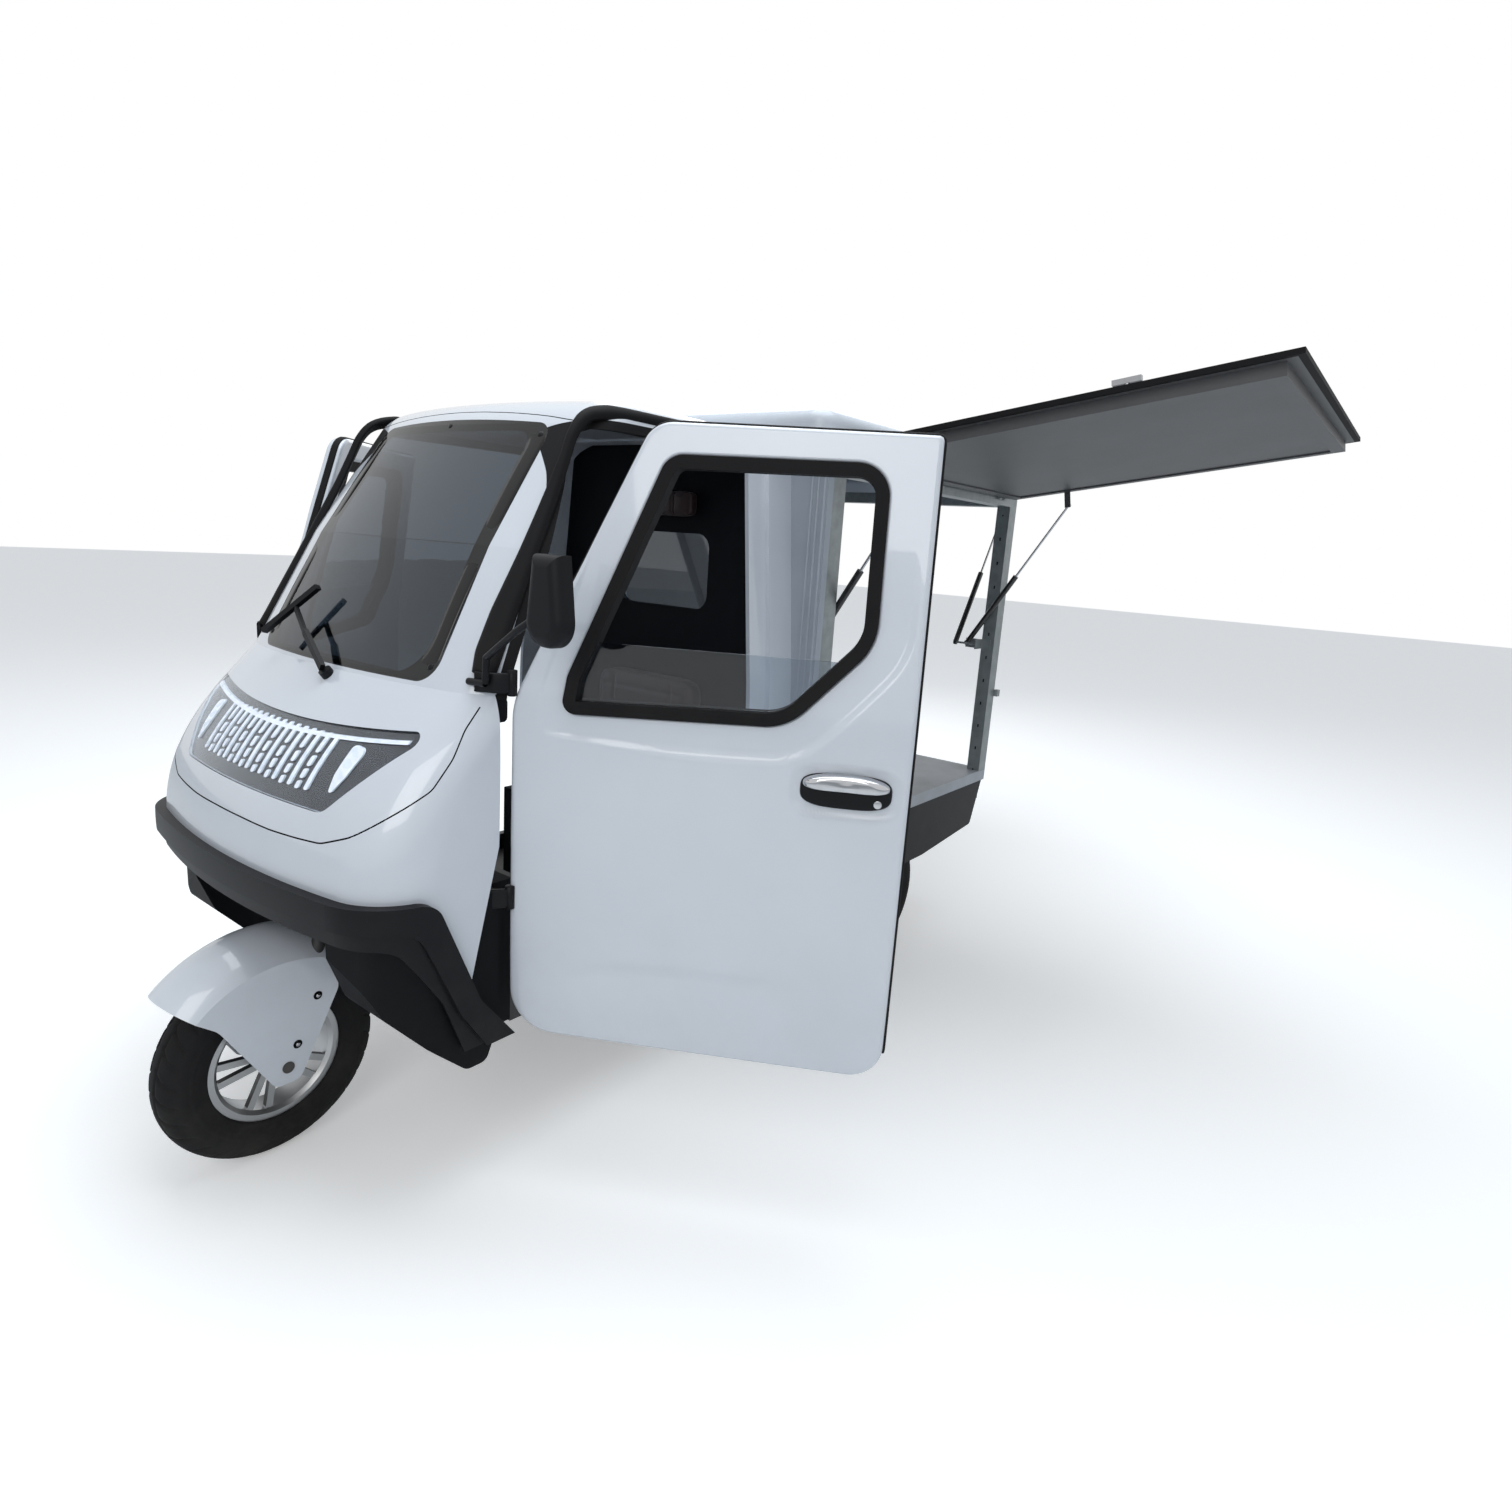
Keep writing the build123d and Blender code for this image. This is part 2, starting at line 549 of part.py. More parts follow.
# Cab shell, nose, windscreen and weather strips
outer = cab_envelope(0)
inner = cab_envelope(CAB_WALL)
door_face = grown(door_points(DOOR_OUTLINE), MOVE_GAP)
strip_face = grown(door_points(DOOR_OUTLINE), MOVE_GAP + 20)
STRIP_FROM_X = DOOR_HINGE_X - DOOR_WIDTH - MOVE_GAP
NOSE_FROM_X = DOOR_HINGE_X - 60
JAMB_FROM_X = ROOF_FRONT + 2
JAMB_WIDTH = STRIP_FROM_X - JAMB_FROM_X + 30
JAMB_DEEP = 13
NOSE_EDGE = ((1450, 98, 0), (1162, 98, 40), (1064, -100, 0), (995, 190, 40), (990, 600, 0), (850, 600, 0),
             (850, -400, 0), (1450, -400, 0))
with BuildPart() as screen_prism:
    with BuildSketch(Plane.YZ.offset(CAB_BACK + 650)) as screen_outline:
        with BuildLine():
            low = Polyline((-SCREEN_TOP[0], SCREEN_TOP[1]), (-SCREEN_BOTTOM[0], SCREEN_BOTTOM[1] + 8),
                           (SCREEN_BOTTOM[0], SCREEN_BOTTOM[1] + 8), (SCREEN_TOP[0], SCREEN_TOP[1]))
            ThreePointArc(low @ 1, (0, SCREEN_TOP[1] + 12), low @ 0)
        make_face()
        fillet(screen_outline.vertices(), SCREEN_CORNER)
    extrude(amount=600)
with BuildPart() as rear_wall_prism:
    add(inner.moved(Location((-CAB_WALL, 0, 0))))
    with Locations((CAB_BACK + CAB_WALL / 2 - 1, 0, 400)):
        Box(CAB_WALL + 2, 1200, 1400, mode=Mode.INTERSECT)
with BuildPart() as roof_space:
    with Locations(((CAB_BACK + ROOF_FRONT) / 2, 0, ROOF_TOP)):
        Box(ROOF_FRONT - CAB_BACK + 2, 2 * ROOF_SIDE, 2 * ROOF_EDGE + 1)
with BuildPart() as cab_all:
    add(outer)
    add(inner, mode=Mode.SUBTRACT)
    add(roof_space.part, mode=Mode.SUBTRACT)
    add(rear_wall_prism.part, mode=Mode.SUBTRACT)
    add(screen_prism.part, mode=Mode.SUBTRACT)
    add(across(door_face, -560, 560), mode=Mode.SUBTRACT)
with BuildPart() as strip_zone:
    add(across(strip_face, -560, 560))
    with Locations((STRIP_FROM_X + 600, 0, BELT_Z - 10 + 400)):
        Box(1200, 1200, 800, mode=Mode.INTERSECT)
with BuildPart() as door_seals:
    add(cab_all.part)
    add(strip_zone.part, mode=Mode.INTERSECT)
keep("door_seals", door_seals.part)
LAMP_FROM_X = CAB_BACK + 950
LAMP_DEPTH = 5
LAMP_OUTLINE = ((-450, 430, 18), (-300, 263, 40), (300, 263, 40), (450, 430, 18), (0, 405, 0))
LAMP_COVER = 3
LAMP_HOLLOW = 4
BAR_PITCH = 28
BAR_WIDE = 12
BAR_COUNT = 17
# heights of a full bar, and of the dashes of the bars between
BAR_FULL = ((292, 392),)
BAR_DASHES = ((290, 304), (309, 326), (331, 350), (356, 392))
LIGHT_LINE = ((-405, 408), (0, 386), (405, 408))
LIGHT_LINE_WIDE = 7
REFLECTOR = ((282, 384, 8), (322, 380, 14), (312, 330, 20), (292, 288, 6), (281, 330, 20))


lamp_forms = {depth: cab_envelope(depth) for depth in
              (LAMP_COVER, LAMP_COVER + LAMP_HOLLOW, LAMP_COVER + LAMP_HOLLOW + LAMP_DEPTH)}
lamp_forms[0] = outer


def lamp_shell(from_depth, to_depth):
    """Shell of the nose between two depths below its surface."""
    with BuildPart() as shell:
        add(lamp_forms[from_depth])
        add(lamp_forms[to_depth], mode=Mode.SUBTRACT)
        with Locations((CAB_BACK + 1250, 0, 340)):
            Box(400, 1000, 260, mode=Mode.INTERSECT)
    return shell.part


with BuildPart() as lamp_prism:
    with BuildSketch(Plane.YZ.offset(LAMP_FROM_X)) as lamp_outline:
        with BuildLine():
            base = Polyline([(y, z) for y, z, radius in LAMP_OUTLINE[:4]])
            ThreePointArc(base @ 1, LAMP_OUTLINE[4][:2], base @ 0)
        make_face()
        for y, z, radius in LAMP_OUTLINE[:4]:
            fillet(lamp_outline.vertices().sort_by_distance((y, z, 0))[0], radius)
    extrude(amount=600)
with BuildPart() as lamp_pocket:
    add(lamp_shell(0, LAMP_COVER + LAMP_HOLLOW + LAMP_DEPTH))
    add(lamp_prism.part, mode=Mode.INTERSECT)
with BuildPart() as lamp_cover:
    add(lamp_shell(0, LAMP_COVER))
    add(lamp_prism.part, mode=Mode.INTERSECT)
keep("lamp_cover", lamp_cover.part)
with BuildPart() as lamp_panel:
    add(lamp_shell(LAMP_COVER + LAMP_HOLLOW, LAMP_COVER + LAMP_HOLLOW + LAMP_DEPTH))
    add(lamp_prism.part, mode=Mode.INTERSECT)
keep("lamp_panel", lamp_panel.part)
with BuildPart() as headlamps:
    with BuildSketch(Plane.YZ.offset(LAMP_FROM_X)):
        for number in range(BAR_COUNT):
            bar_y = (number - (BAR_COUNT - 1) / 2) * BAR_PITCH
            for low_z, high_z in BAR_DASHES if number % 2 else BAR_FULL:
                with Locations((bar_y, (low_z + high_z) / 2)):
                    RectangleRounded(BAR_WIDE, high_z - low_z, 4)
        with BuildLine():
            top_arc = ThreePointArc(*LIGHT_LINE)
            low_arc = ThreePointArc(*[(y, z - LIGHT_LINE_WIDE) for y, z in LIGHT_LINE])
            Line(top_arc @ 0, low_arc @ 0)
            Line(top_arc @ 1, low_arc @ 1)
        make_face()
    extrude(amount=600)
    for y_side in (-1, 1):
        with BuildSketch(Plane.YZ.offset(LAMP_FROM_X)) as teardrop:
            with BuildLine():
                Polyline([(y_side * y, z) for y, z, radius in REFLECTOR], close=True)
            make_face()
            for y, z, radius in REFLECTOR:
                fillet(teardrop.vertices().sort_by_distance((y_side * y, z, 0))[0], radius)
        extrude(amount=600)
    add(lamp_shell(LAMP_COVER, LAMP_COVER + LAMP_HOLLOW), mode=Mode.INTERSECT)
keep("headlamps", headlamps.part)
with BuildPart() as cab_nose:
    add(cab_all.part)
    with Locations((NOSE_FROM_X + 300, 0, BELT_Z - 400)):
        Box(600, 1200, 800, mode=Mode.INTERSECT)
    add(side_prism(NOSE_EDGE, -600, 600, CAB_BACK), mode=Mode.SUBTRACT)
    add(strip_zone.part, mode=Mode.SUBTRACT)
    add(lamp_pocket.part, mode=Mode.SUBTRACT)
keep("cab_nose", cab_nose.part)
with BuildPart() as jamb_recess:
    add(outer)
    add(cab_envelope(JAMB_DEEP), mode=Mode.SUBTRACT)
    with Locations((JAMB_FROM_X + JAMB_WIDTH / 2, 0, (DOOR_BOTTOM + DOOR_TOP) / 2)):
        Box(JAMB_WIDTH, 1200, DOOR_TOP - DOOR_BOTTOM + 40, mode=Mode.INTERSECT)
with BuildPart() as cab_shell:
    add(cab_all.part)
    with Locations((NOSE_FROM_X + 300, 0, BELT_Z - 400)):
        Box(600, 1200, 800, mode=Mode.SUBTRACT)
    add(strip_zone.part, mode=Mode.SUBTRACT)
    add(jamb_recess.part, mode=Mode.SUBTRACT)
keep("cab_shell", cab_shell.part)
with BuildPart() as windscreen:
    add(outer)
    add(cab_envelope(SCREEN_THICK), mode=Mode.SUBTRACT)
    add(screen_prism.part, mode=Mode.INTERSECT)
keep("windscreen", windscreen.part)

# Rear wall of the cab and its window
with BuildPart() as cab_rear_wall:
    add(rear_wall_prism.part)
    with BuildSketch(Plane.YZ.offset(CAB_BACK - 5)):
        with Locations((0, WALL_WINDOW_Z)):
            RectangleRounded(*WALL_WINDOW, 45)
    extrude(amount=60, mode=Mode.SUBTRACT)
    with Locations((CAB_BACK, 0, DOOR_BOTTOM)):
        Box(200, 2 * RAIL_Y + RAIL_W + 8, 110, mode=Mode.SUBTRACT)
    add(roof_space.part, mode=Mode.SUBTRACT)
keep("cab_rear_wall", cab_rear_wall.part)
with BuildPart() as rear_window:
    with BuildSketch(Plane.YZ.offset(CAB_BACK + 8)):
        with Locations((0, WALL_WINDOW_Z)):
            RectangleRounded(*WALL_WINDOW, 45)
    extrude(amount=5)
keep("rear_window", rear_window.part)

# Bumper roll and black arch cheeks
BUMPER_PROUD = 20
LIP_PROUD = 7
BUMPER_ROLL = ((1550, 118, 0), (1150, 118, 50), (1050, -120, 60), (965, DOOR_BOTTOM, 0), (1035, DOOR_BOTTOM, 0),
               (1098, -132, 60), (1188, 66, 50), (1550, 66, 0))
BUMPER_LIP = ((1550, 67, 0), (1187, 67, 50), (1098, -132, 60), (1035, DOOR_BOTTOM, 0), (1080, DOOR_BOTTOM, 0),
              (1130, -100, 60), (1215, 28, 50), (1550, 28, 0))
with BuildPart() as bumper_trim:
    for proud, band in ((LIP_PROUD, BUMPER_LIP), (BUMPER_PROUD, BUMPER_ROLL)):
        with BuildPart(mode=Mode.PRIVATE) as layer:
            add(cab_envelope(-proud))
            add(outer, mode=Mode.SUBTRACT)
            add(side_prism(band, -600, 600, CAB_BACK), mode=Mode.INTERSECT)
            with Locations((CAB_BACK, 0, 0)):
                Box(600, 1400, 3000, mode=Mode.SUBTRACT)
        add(layer.part)
keep("bumper_trim", bumper_trim.part)
ARCH_R = 300
ARCH_TOP = 60
LINER_TOP = ARCH_TOP + 30
LINER_LOW = -282
CHEEK_HALF = 492
LINER_OUTLINE = ((0, -240, 0), (75, -240, 0), (92, LINER_LOW, 20), (140, LINER_LOW, 30), (228, -200, 40),
                 (292, -130, 50), (335, -20, 60), (343, LINER_TOP, 0), (0, LINER_TOP, 0))
CHEEK_OUTLINE = ((62, -240, 0),) + LINER_OUTLINE[1:8] + ((62, LINER_TOP, 0),)
with BuildPart() as cheek_plan:
    add(plan_section(LINER_LOW - 1, NOSE_REACH, CAB_HALF, NOSE_CORNER, CAB_HALF - CHEEK_HALF))
    extrude(amount=LINER_TOP - LINER_LOW + 2)
with BuildPart() as front_liner:
    add(side_prism(LINER_OUTLINE, -SILL_Y, SILL_Y, CAB_FLOOR_FRONT))
    add(side_prism(CHEEK_OUTLINE, -CHEEK_HALF, CHEEK_HALF, CAB_FLOOR_FRONT))
    with BuildSketch(Plane.XY.offset(-400)):
        with Locations((CAB_FLOOR_FRONT + ARCH_R + 2, 0)):
            Circle(ARCH_R)
        with Locations((CAB_FLOOR_FRONT + ARCH_R + 202, 0)):
            Rectangle(400, 2 * ARCH_R)
    extrude(amount=400 + ARCH_TOP, mode=Mode.SUBTRACT)
    add(cheek_plan.part, mode=Mode.INTERSECT)
    add(cab_nose.part, mode=Mode.SUBTRACT)
    with BuildSketch(axis_plane(ARCH_TOP - 40)):
        Circle(STEM_R + HEAD_WALL + 8)
    extrude(amount=140, mode=Mode.SUBTRACT)
    with Locations((CAB_FLOOR_FRONT + 30, 0, -60)):
        Box(70, 80, 420, mode=Mode.SUBTRACT)
    with Locations((CAB_BACK + 1000, 0, 60)):
        Box(160, 62, 220, mode=Mode.SUBTRACT)
keep("front_liner", front_liner.part)

# Cab floor tub
TUB_REAR = CAB_BACK + CAB_WALL
with BuildPart() as cab_floor:
    with Locations(((TUB_REAR + CAB_FLOOR_FRONT) / 2, 0, CAB_FLOOR_Z - CAB_FLOOR_THICK / 2)):
        Box(CAB_FLOOR_FRONT - TUB_REAR, 2 * SILL_Y, CAB_FLOOR_THICK)
    with Locations((CAB_FLOOR_FRONT - 8, 0, (CAB_FLOOR_Z + 90) / 2)):
        Box(16, 2 * SILL_Y, 90 - CAB_FLOOR_Z)
    for y_side in (-1, 1):
        with Locations(((TUB_REAR + CAB_FLOOR_FRONT) / 2, y_side * (SILL_Y - 12), CAB_FLOOR_Z + 25)):
            Box(CAB_FLOOR_FRONT - TUB_REAR, 24, 50)
keep("cab_floor", cab_floor.part)

# Seat base with the battery under it, cushion, back and head pad
WALL_FACE = CAB_BACK + CAB_WALL
SEAT_X = WALL_FACE + 55
SEAT_LENGTH = 380
SEAT_HALF = 215
SEAT_TOP = 60
with BuildPart() as seat_base:
    with Locations((SEAT_X + SEAT_LENGTH / 2 - 10, 0, (CAB_FLOOR_Z + SEAT_TOP) / 2)):
        Box(SEAT_LENGTH - 20, 2 * SEAT_HALF, SEAT_TOP - CAB_FLOOR_Z)
        Box(SEAT_LENGTH - 26, 2 * SEAT_HALF - 6, SEAT_TOP - CAB_FLOOR_Z, mode=Mode.SUBTRACT)
    with Locations((SEAT_X + SEAT_LENGTH / 2 - 10, 0, SEAT_TOP - 3)):
        Box(SEAT_LENGTH - 20, 2 * SEAT_HALF, 6)
keep("seat_base", seat_base.part)
with BuildPart() as battery_pack:
    with Locations((SEAT_X + SEAT_LENGTH / 2 - 10, 0, CAB_FLOOR_Z + 120)):
        Box(SEAT_LENGTH - 60, 2 * SEAT_HALF - 50, 240)
keep("battery_pack", battery_pack.part)
with BuildPart() as seat_cushion:
    with Locations((SEAT_X + SEAT_LENGTH / 2, 0, SEAT_TOP + SEAT_GAP + 35)):
        Box(SEAT_LENGTH, 2 * SEAT_HALF - 10, 70)
    fillet(seat_cushion.edges().filter_by(Axis.Z), 50)
    fillet(seat_cushion.faces().sort_by(Axis.Z)[-1].edges(), 22)
keep("seat_cushion", seat_cushion.part)
with BuildPart() as seat_back:
    with Locations((WALL_FACE + SEAT_GAP + 35, 0, 285)):
        Box(70, 2 * SEAT_HALF - 14, 260)
    fillet(seat_back.edges().filter_by(Axis.X), 50)
    fillet(seat_back.faces().sort_by(Axis.X)[-1].edges(), 22)
keep("seat_back", seat_back.part)
with BuildPart() as head_pad:
    with Locations((WALL_FACE + SEAT_GAP + 20, 0, 922)):
        Box(40, 280, 74)
    fillet(head_pad.edges().filter_by(Axis.X), 25)
    fillet(head_pad.faces().sort_by(Axis.X)[-1].edges(), 14)
keep("head_pad", head_pad.part)

# Dashboard shelf under the windscreen
with BuildPart() as dashboard:
    add(side_prism(((940, 432, 10), (940, 485, 15), (1110, 485, 0), (1110, 432, 0)), -520, 520, CAB_BACK))
    add(inner, mode=Mode.INTERSECT)
    for y_side in (-1, 1):
        with Locations((CAB_BACK + 950, y_side * 500, 450)):
            Box(300, 100, 200, mode=Mode.SUBTRACT)
keep("dashboard", dashboard.part)

# Wiper, laid along the screen
WIPER_ROOT = (CAB_BACK + 1080, 45, 457)
WIPER_ARM = ((CAB_BACK + 1113, 45, 500), (CAB_BACK + 1095, -60, 565))
WIPER_LINK = ((CAB_BACK + 1097, -55, 562), (CAB_BACK + 1066, -160, 612))
WIPER_BLADE = ((CAB_BACK + 1104, -235, 548), (CAB_BACK + 1040, -105, 660))
with BuildPart() as wiper:
    with BuildSketch(Plane(origin=WIPER_ROOT, z_dir=(0.6, 0, 0.8))):
        Circle(14)
    extrude(amount=48)
    add(outer, mode=Mode.SUBTRACT)
    for ends, wide, tall in ((WIPER_ARM, 16, 10), (WIPER_LINK, 12, 8), (WIPER_BLADE, 12, 14)):
        with BuildLine() as run:
            Line(*ends)
        with BuildSketch(Plane(origin=ends[0], z_dir=run.line % 0)):
            Rectangle(wide, tall)
        sweep(path=run.line)
    add(outer, mode=Mode.SUBTRACT)
keep("wiper", wiper.part)

# Driver's mirror on its arm, an egg-shaped shell that narrows upwards
MIRROR_WIDE = 110
MIRROR_TALL = 162
MIRROR_SIDE_ANGLE = 83
MIRROR_DEEP = 38
MIRROR_X = CAB_BACK + 1040
MIRROR_Y = 694
MIRROR_Z = 698
ARM_R = 7
MIRROR_ARM = ((MIRROR_X - 18, 435, 520), (MIRROR_X - 18, 488, 523), (MIRROR_X - 16, 494, 574),
              (MIRROR_X - 2, 600, 636), (MIRROR_X, 655, 666))
with BuildPart() as mirror:
    with BuildSketch(Plane.YZ.offset(MIRROR_X - 16)):
        with Locations((MIRROR_Y, MIRROR_Z)):
            head = Trapezoid(MIRROR_WIDE, MIRROR_TALL, MIRROR_SIDE_ANGLE)
        fillet(head.vertices().sort_by(Axis.Y)[:2], 46)
        fillet(head.vertices().sort_by(Axis.Y)[-2:], 32)
    extrude(amount=MIRROR_DEEP)
    fillet(mirror.faces().sort_by(Axis.X)[-1].edges(), 22)
    with BuildLine() as arm:
        Polyline(*MIRROR_ARM)
    with BuildSketch(Plane(origin=arm.line @ 0, z_dir=arm.line % 0)):
        Circle(ARM_R)
    sweep(path=arm.line, transition=Transition.ROUND)
    add(outer, mode=Mode.SUBTRACT)
keep("mirror", mirror.part)


# Doors
def door_slab(proud, thick):
    """Upright slab that leans in above the belt, in the place of the closed left door."""
    face = DOOR_HINGE_Y + proud
    lean = (CAB_HALF - EAVE_HALF) / (EAVE_Z - BELT_Z)
    top = EAVE_Z + 60
    top_face = face - lean * (top - BELT_Z)
    with BuildPart() as slab:
        with BuildSketch(Plane.YZ.offset(DOOR_HINGE_X - DOOR_WIDTH - 100)):
            with BuildLine():
                Polyline((face - thick, -400), (face, -400), (face, BELT_Z), (top_face, top),
                         (top_face - thick, top), (face - thick, BELT_Z), close=True)
            make_face()
        extrude(amount=DOOR_WIDTH + 300)
    return slab.part


window_face = grown(door_points(WINDOW_OUTLINE), 0)
glass_face = grown(door_points(WINDOW_OUTLINE), -SEAL_WIDTH)
with BuildPart() as door_shell:
    add(across(grown(door_points(DOOR_OUTLINE), 0), 300, 600))
    add(door_slab(DOOR_PROUD, DOOR_THICK), mode=Mode.INTERSECT)
    add(across(window_face, 300, 600), mode=Mode.SUBTRACT)
with BuildPart() as door_seal:
    add(across(window_face, 300, 600))
    add(across(glass_face, 300, 600), mode=Mode.SUBTRACT)
    add(door_slab(DOOR_PROUD + 3, DOOR_THICK + 3), mode=Mode.INTERSECT)
with BuildPart() as door_glass:
    add(across(glass_face, 300, 600))
    add(door_slab(DOOR_PROUD - 18, DOOR_GLASS), mode=Mode.INTERSECT)
    with Locations((DOOR_HINGE_X - DOOR_WIDTH / 2, 450, GLASS_TOP + 400)):
        Box(1200, 400, 800, mode=Mode.SUBTRACT)
HANDLE_BACK = 670
HANDLE_Z = 370
with BuildPart() as door_handle:
    with BuildSketch(Plane.XZ.offset(-(DOOR_HINGE_Y + DOOR_PROUD + 14))):
        with Locations((DOOR_HINGE_X - HANDLE_BACK, HANDLE_Z)):
            RectangleRounded(172, 66, 28)
    extrude(amount=14)
    fillet(door_handle.faces().sort_by(Axis.Y)[-1].edges(), 8)
left_hinge = Axis((DOOR_HINGE_X, DOOR_HINGE_Y, 0), (0, 0, 1))
right_hinge = Axis((DOOR_HINGE_X, -DOOR_HINGE_Y, 0), (0, 0, 1))
for name, closed in (("shell", door_shell.part), ("seal", door_seal.part),
                     ("glass", door_glass.part), ("handle", door_handle.part)):
    keep(f"door_left_{name}", closed.rotate(left_hinge, -LEFT_DOOR_OPEN))
    keep(f"door_right_{name}", closed.mirror(Plane.XZ).rotate(right_hinge, RIGHT_DOOR_OPEN))


# Flaps, their struts and hinges
def strut_line(opening):
    """Angle from upright and length of a strut at a share of the full opening."""
    turn = radians(FLAP_OPEN)
    along, inwards = -STRUT_EYE_ALONG, -STRUT_EYE_IN
    eye = (inwards * cos(turn) - along * sin(turn), inwards * sin(turn) + along * cos(turn))
    reach = (eye[0] - STRUT_FOOT[0], eye[1] - STRUT_FOOT[1])
    lean_open = degrees(atan2(reach[0], reach[1]))
    lean = STRUT_SHUT_LEAN + (lean_open - STRUT_SHUT_LEAN) * opening
    return lean, STRUT_SHUT + (hypot(*reach) - STRUT_SHUT) * opening


def flap_pieces(length, strut_xs, opening):
    """Flap hinged on the local X axis, hanging down and facing +Y when shut."""
    half = length / 2
    with BuildPart() as panel:
        with Locations((0, FLAP_BOARD / 2, -(FLAP_TOP_GAP + FLAP_DROP - FLAP_FLANGE) / 2)):
            Box(length - 2 * FLAP_FLANGE, FLAP_BOARD, FLAP_DROP - FLAP_FLANGE - FLAP_TOP_GAP)
        with Locations((0, 0, -(FLAP_TOP_GAP + FLAP_DROP - FLAP_FLANGE) / 2)):
            Box(length - 2 * FLAP_FLANGE - 2 * FLAP_BORDER, 2 * FLAP_RECESS,
                FLAP_DROP - FLAP_FLANGE - FLAP_TOP_GAP - 2 * FLAP_BORDER, mode=Mode.SUBTRACT)
        with Locations((0, FLAP_BOARD + FLAP_SKIN / 2, -(FLAP_TOP_GAP + FLAP_DROP - FLAP_RUBBER) / 2)):
            Box(length - 2 * FLAP_RUBBER, FLAP_SKIN, FLAP_DROP - FLAP_RUBBER - FLAP_TOP_GAP)
        for share in HINGE_PLACES:
            with Locations((share * length, HINGE_R / 2, -FLAP_TOP_GAP / 2)):
                Box(HINGE_MIDDLE, HINGE_R, FLAP_TOP_GAP)
            with Locations(Location((share * length, 0, 0), (0, 90, 0))):
                Cylinder(HINGE_R, HINGE_MIDDLE)
                Cylinder(HINGE_PIN_R + PIN_GAP, HINGE_MIDDLE, mode=Mode.SUBTRACT)
        for x in strut_xs:
            side = -1 if x > 0 else 1
            with Locations((x + side * 12, (FLAP_RECESS + 1 - STRUT_EYE_IN - 8) / 2, -STRUT_EYE_ALONG)):
                Box(4, FLAP_RECESS + 1 + STRUT_EYE_IN + 8, 20)
            with Locations(Location((x + side * 7.75, -STRUT_EYE_IN, -STRUT_EYE_ALONG), (0, 90, 0))):
                Cylinder(STRUT_PIN_R, 4.5)
    with BuildPart() as latches:
        for end in (-1, 1):
            latch_x = end * (half - LATCH_IN)
            with Locations((latch_x, FLAP_FACE + 2, -LATCH_DROP)):
                Box(56, 4, 40)
            with Locations(Location((latch_x, FLAP_FACE + 13, -LATCH_DROP), (90, 0, 0))):
                Cylinder(6, 18)
            with Locations((latch_x, FLAP_FACE + 23, -LATCH_DROP)):
                Box(14, 12, 62)
    with BuildPart() as edge:
        with Locations((0, FLAP_BOARD + FLAP_SKIN / 2, -(FLAP_TOP_GAP + FLAP_DROP) / 2)):
            Box(length, FLAP_SKIN, FLAP_DROP - FLAP_TOP_GAP)
        with Locations((0, FLAP_BOARD + FLAP_SKIN / 2,
                        -(FLAP_TOP_GAP + FLAP_DROP - FLAP_RUBBER) / 2)):
            Box(length - 2 * FLAP_RUBBER, FLAP_SKIN, FLAP_DROP - FLAP_RUBBER - FLAP_TOP_GAP,
                mode=Mode.SUBTRACT)
    lean, reach = strut_line(opening)
    with BuildPart() as tubes:
        for x in strut_xs:
            with Locations((x, 0, 0)):
                with Locations(Location((0, 0, STRUT_TUBE / 2))):
                    Cylinder(STRUT_TUBE_R, STRUT_TUBE)
                with Locations(Location((0, 0, 10 + STRUT_TUBE / 2))):
                    Cylinder(STRUT_ROD_R + 2 * PIN_GAP, STRUT_TUBE, mode=Mode.SUBTRACT)
                with Locations(Location((0, 0, 0), (0, 90, 0))):
                    Cylinder(STRUT_EYE_R + 3, 10)
                    Cylinder(STRUT_PIN_R + PIN_GAP, 24, mode=Mode.SUBTRACT)
    with BuildPart() as rods:
        for x in strut_xs:
            with Locations((x, 0, 0)):
                with Locations(Location((0, 0, reach - STRUT_ROD / 2))):
                    Cylinder(STRUT_ROD_R, STRUT_ROD)
                with Locations(Location((0, 0, reach), (0, 90, 0))):
                    Cylinder(STRUT_EYE_R, 10)
    turn = Axis((0, 0, 0), (1, 0, 0))
    to_foot = Location((0, STRUT_FOOT[0], STRUT_FOOT[1]))
    swung = [solid.part.rotate(turn, FLAP_OPEN * opening) for solid in (panel, edge, latches)]
    leaned = [solid.part.rotate(turn, -lean).moved(to_foot) for solid in (tubes, rods)]
    return dict(zip(("panel", "edge", "latches", "strut_tubes", "strut_rods"), swung + leaned))


rear_strut = BOX_REAR + POST_X + STRUT_SIDE - side_mid
front_strut = FRAME_FRONT - POST_X - STRUT_SIDE - side_mid
flaps = (("flap_left", (rear_strut, front_strut), 1.0), ("flap_right", (-rear_strut, -front_strut), 0.0),
         ("hatch", (-HATCH_STRUT_Y, HATCH_STRUT_Y), 1.0))
for (name, strut_xs, opening), (length, place) in zip(flaps, hinge_lines):
    for piece, solid in flap_pieces(length, strut_xs, opening).items():
        keep(f"{name}_{piece}", solid.moved(place))
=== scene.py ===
# %% [markdown]
# # Dressing an electric cargo tricycle
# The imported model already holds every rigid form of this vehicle: its frame, its cab, its doors and
# its lifting flaps. This lesson loads that model and gives it the surfaces that a visitor would
# notice: pressed door skins, tyre tread, padded leather, tinted glass and paint with a little dust.

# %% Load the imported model
import bpy
import json
import math
import numpy as np
from mathutils import Matrix, Vector


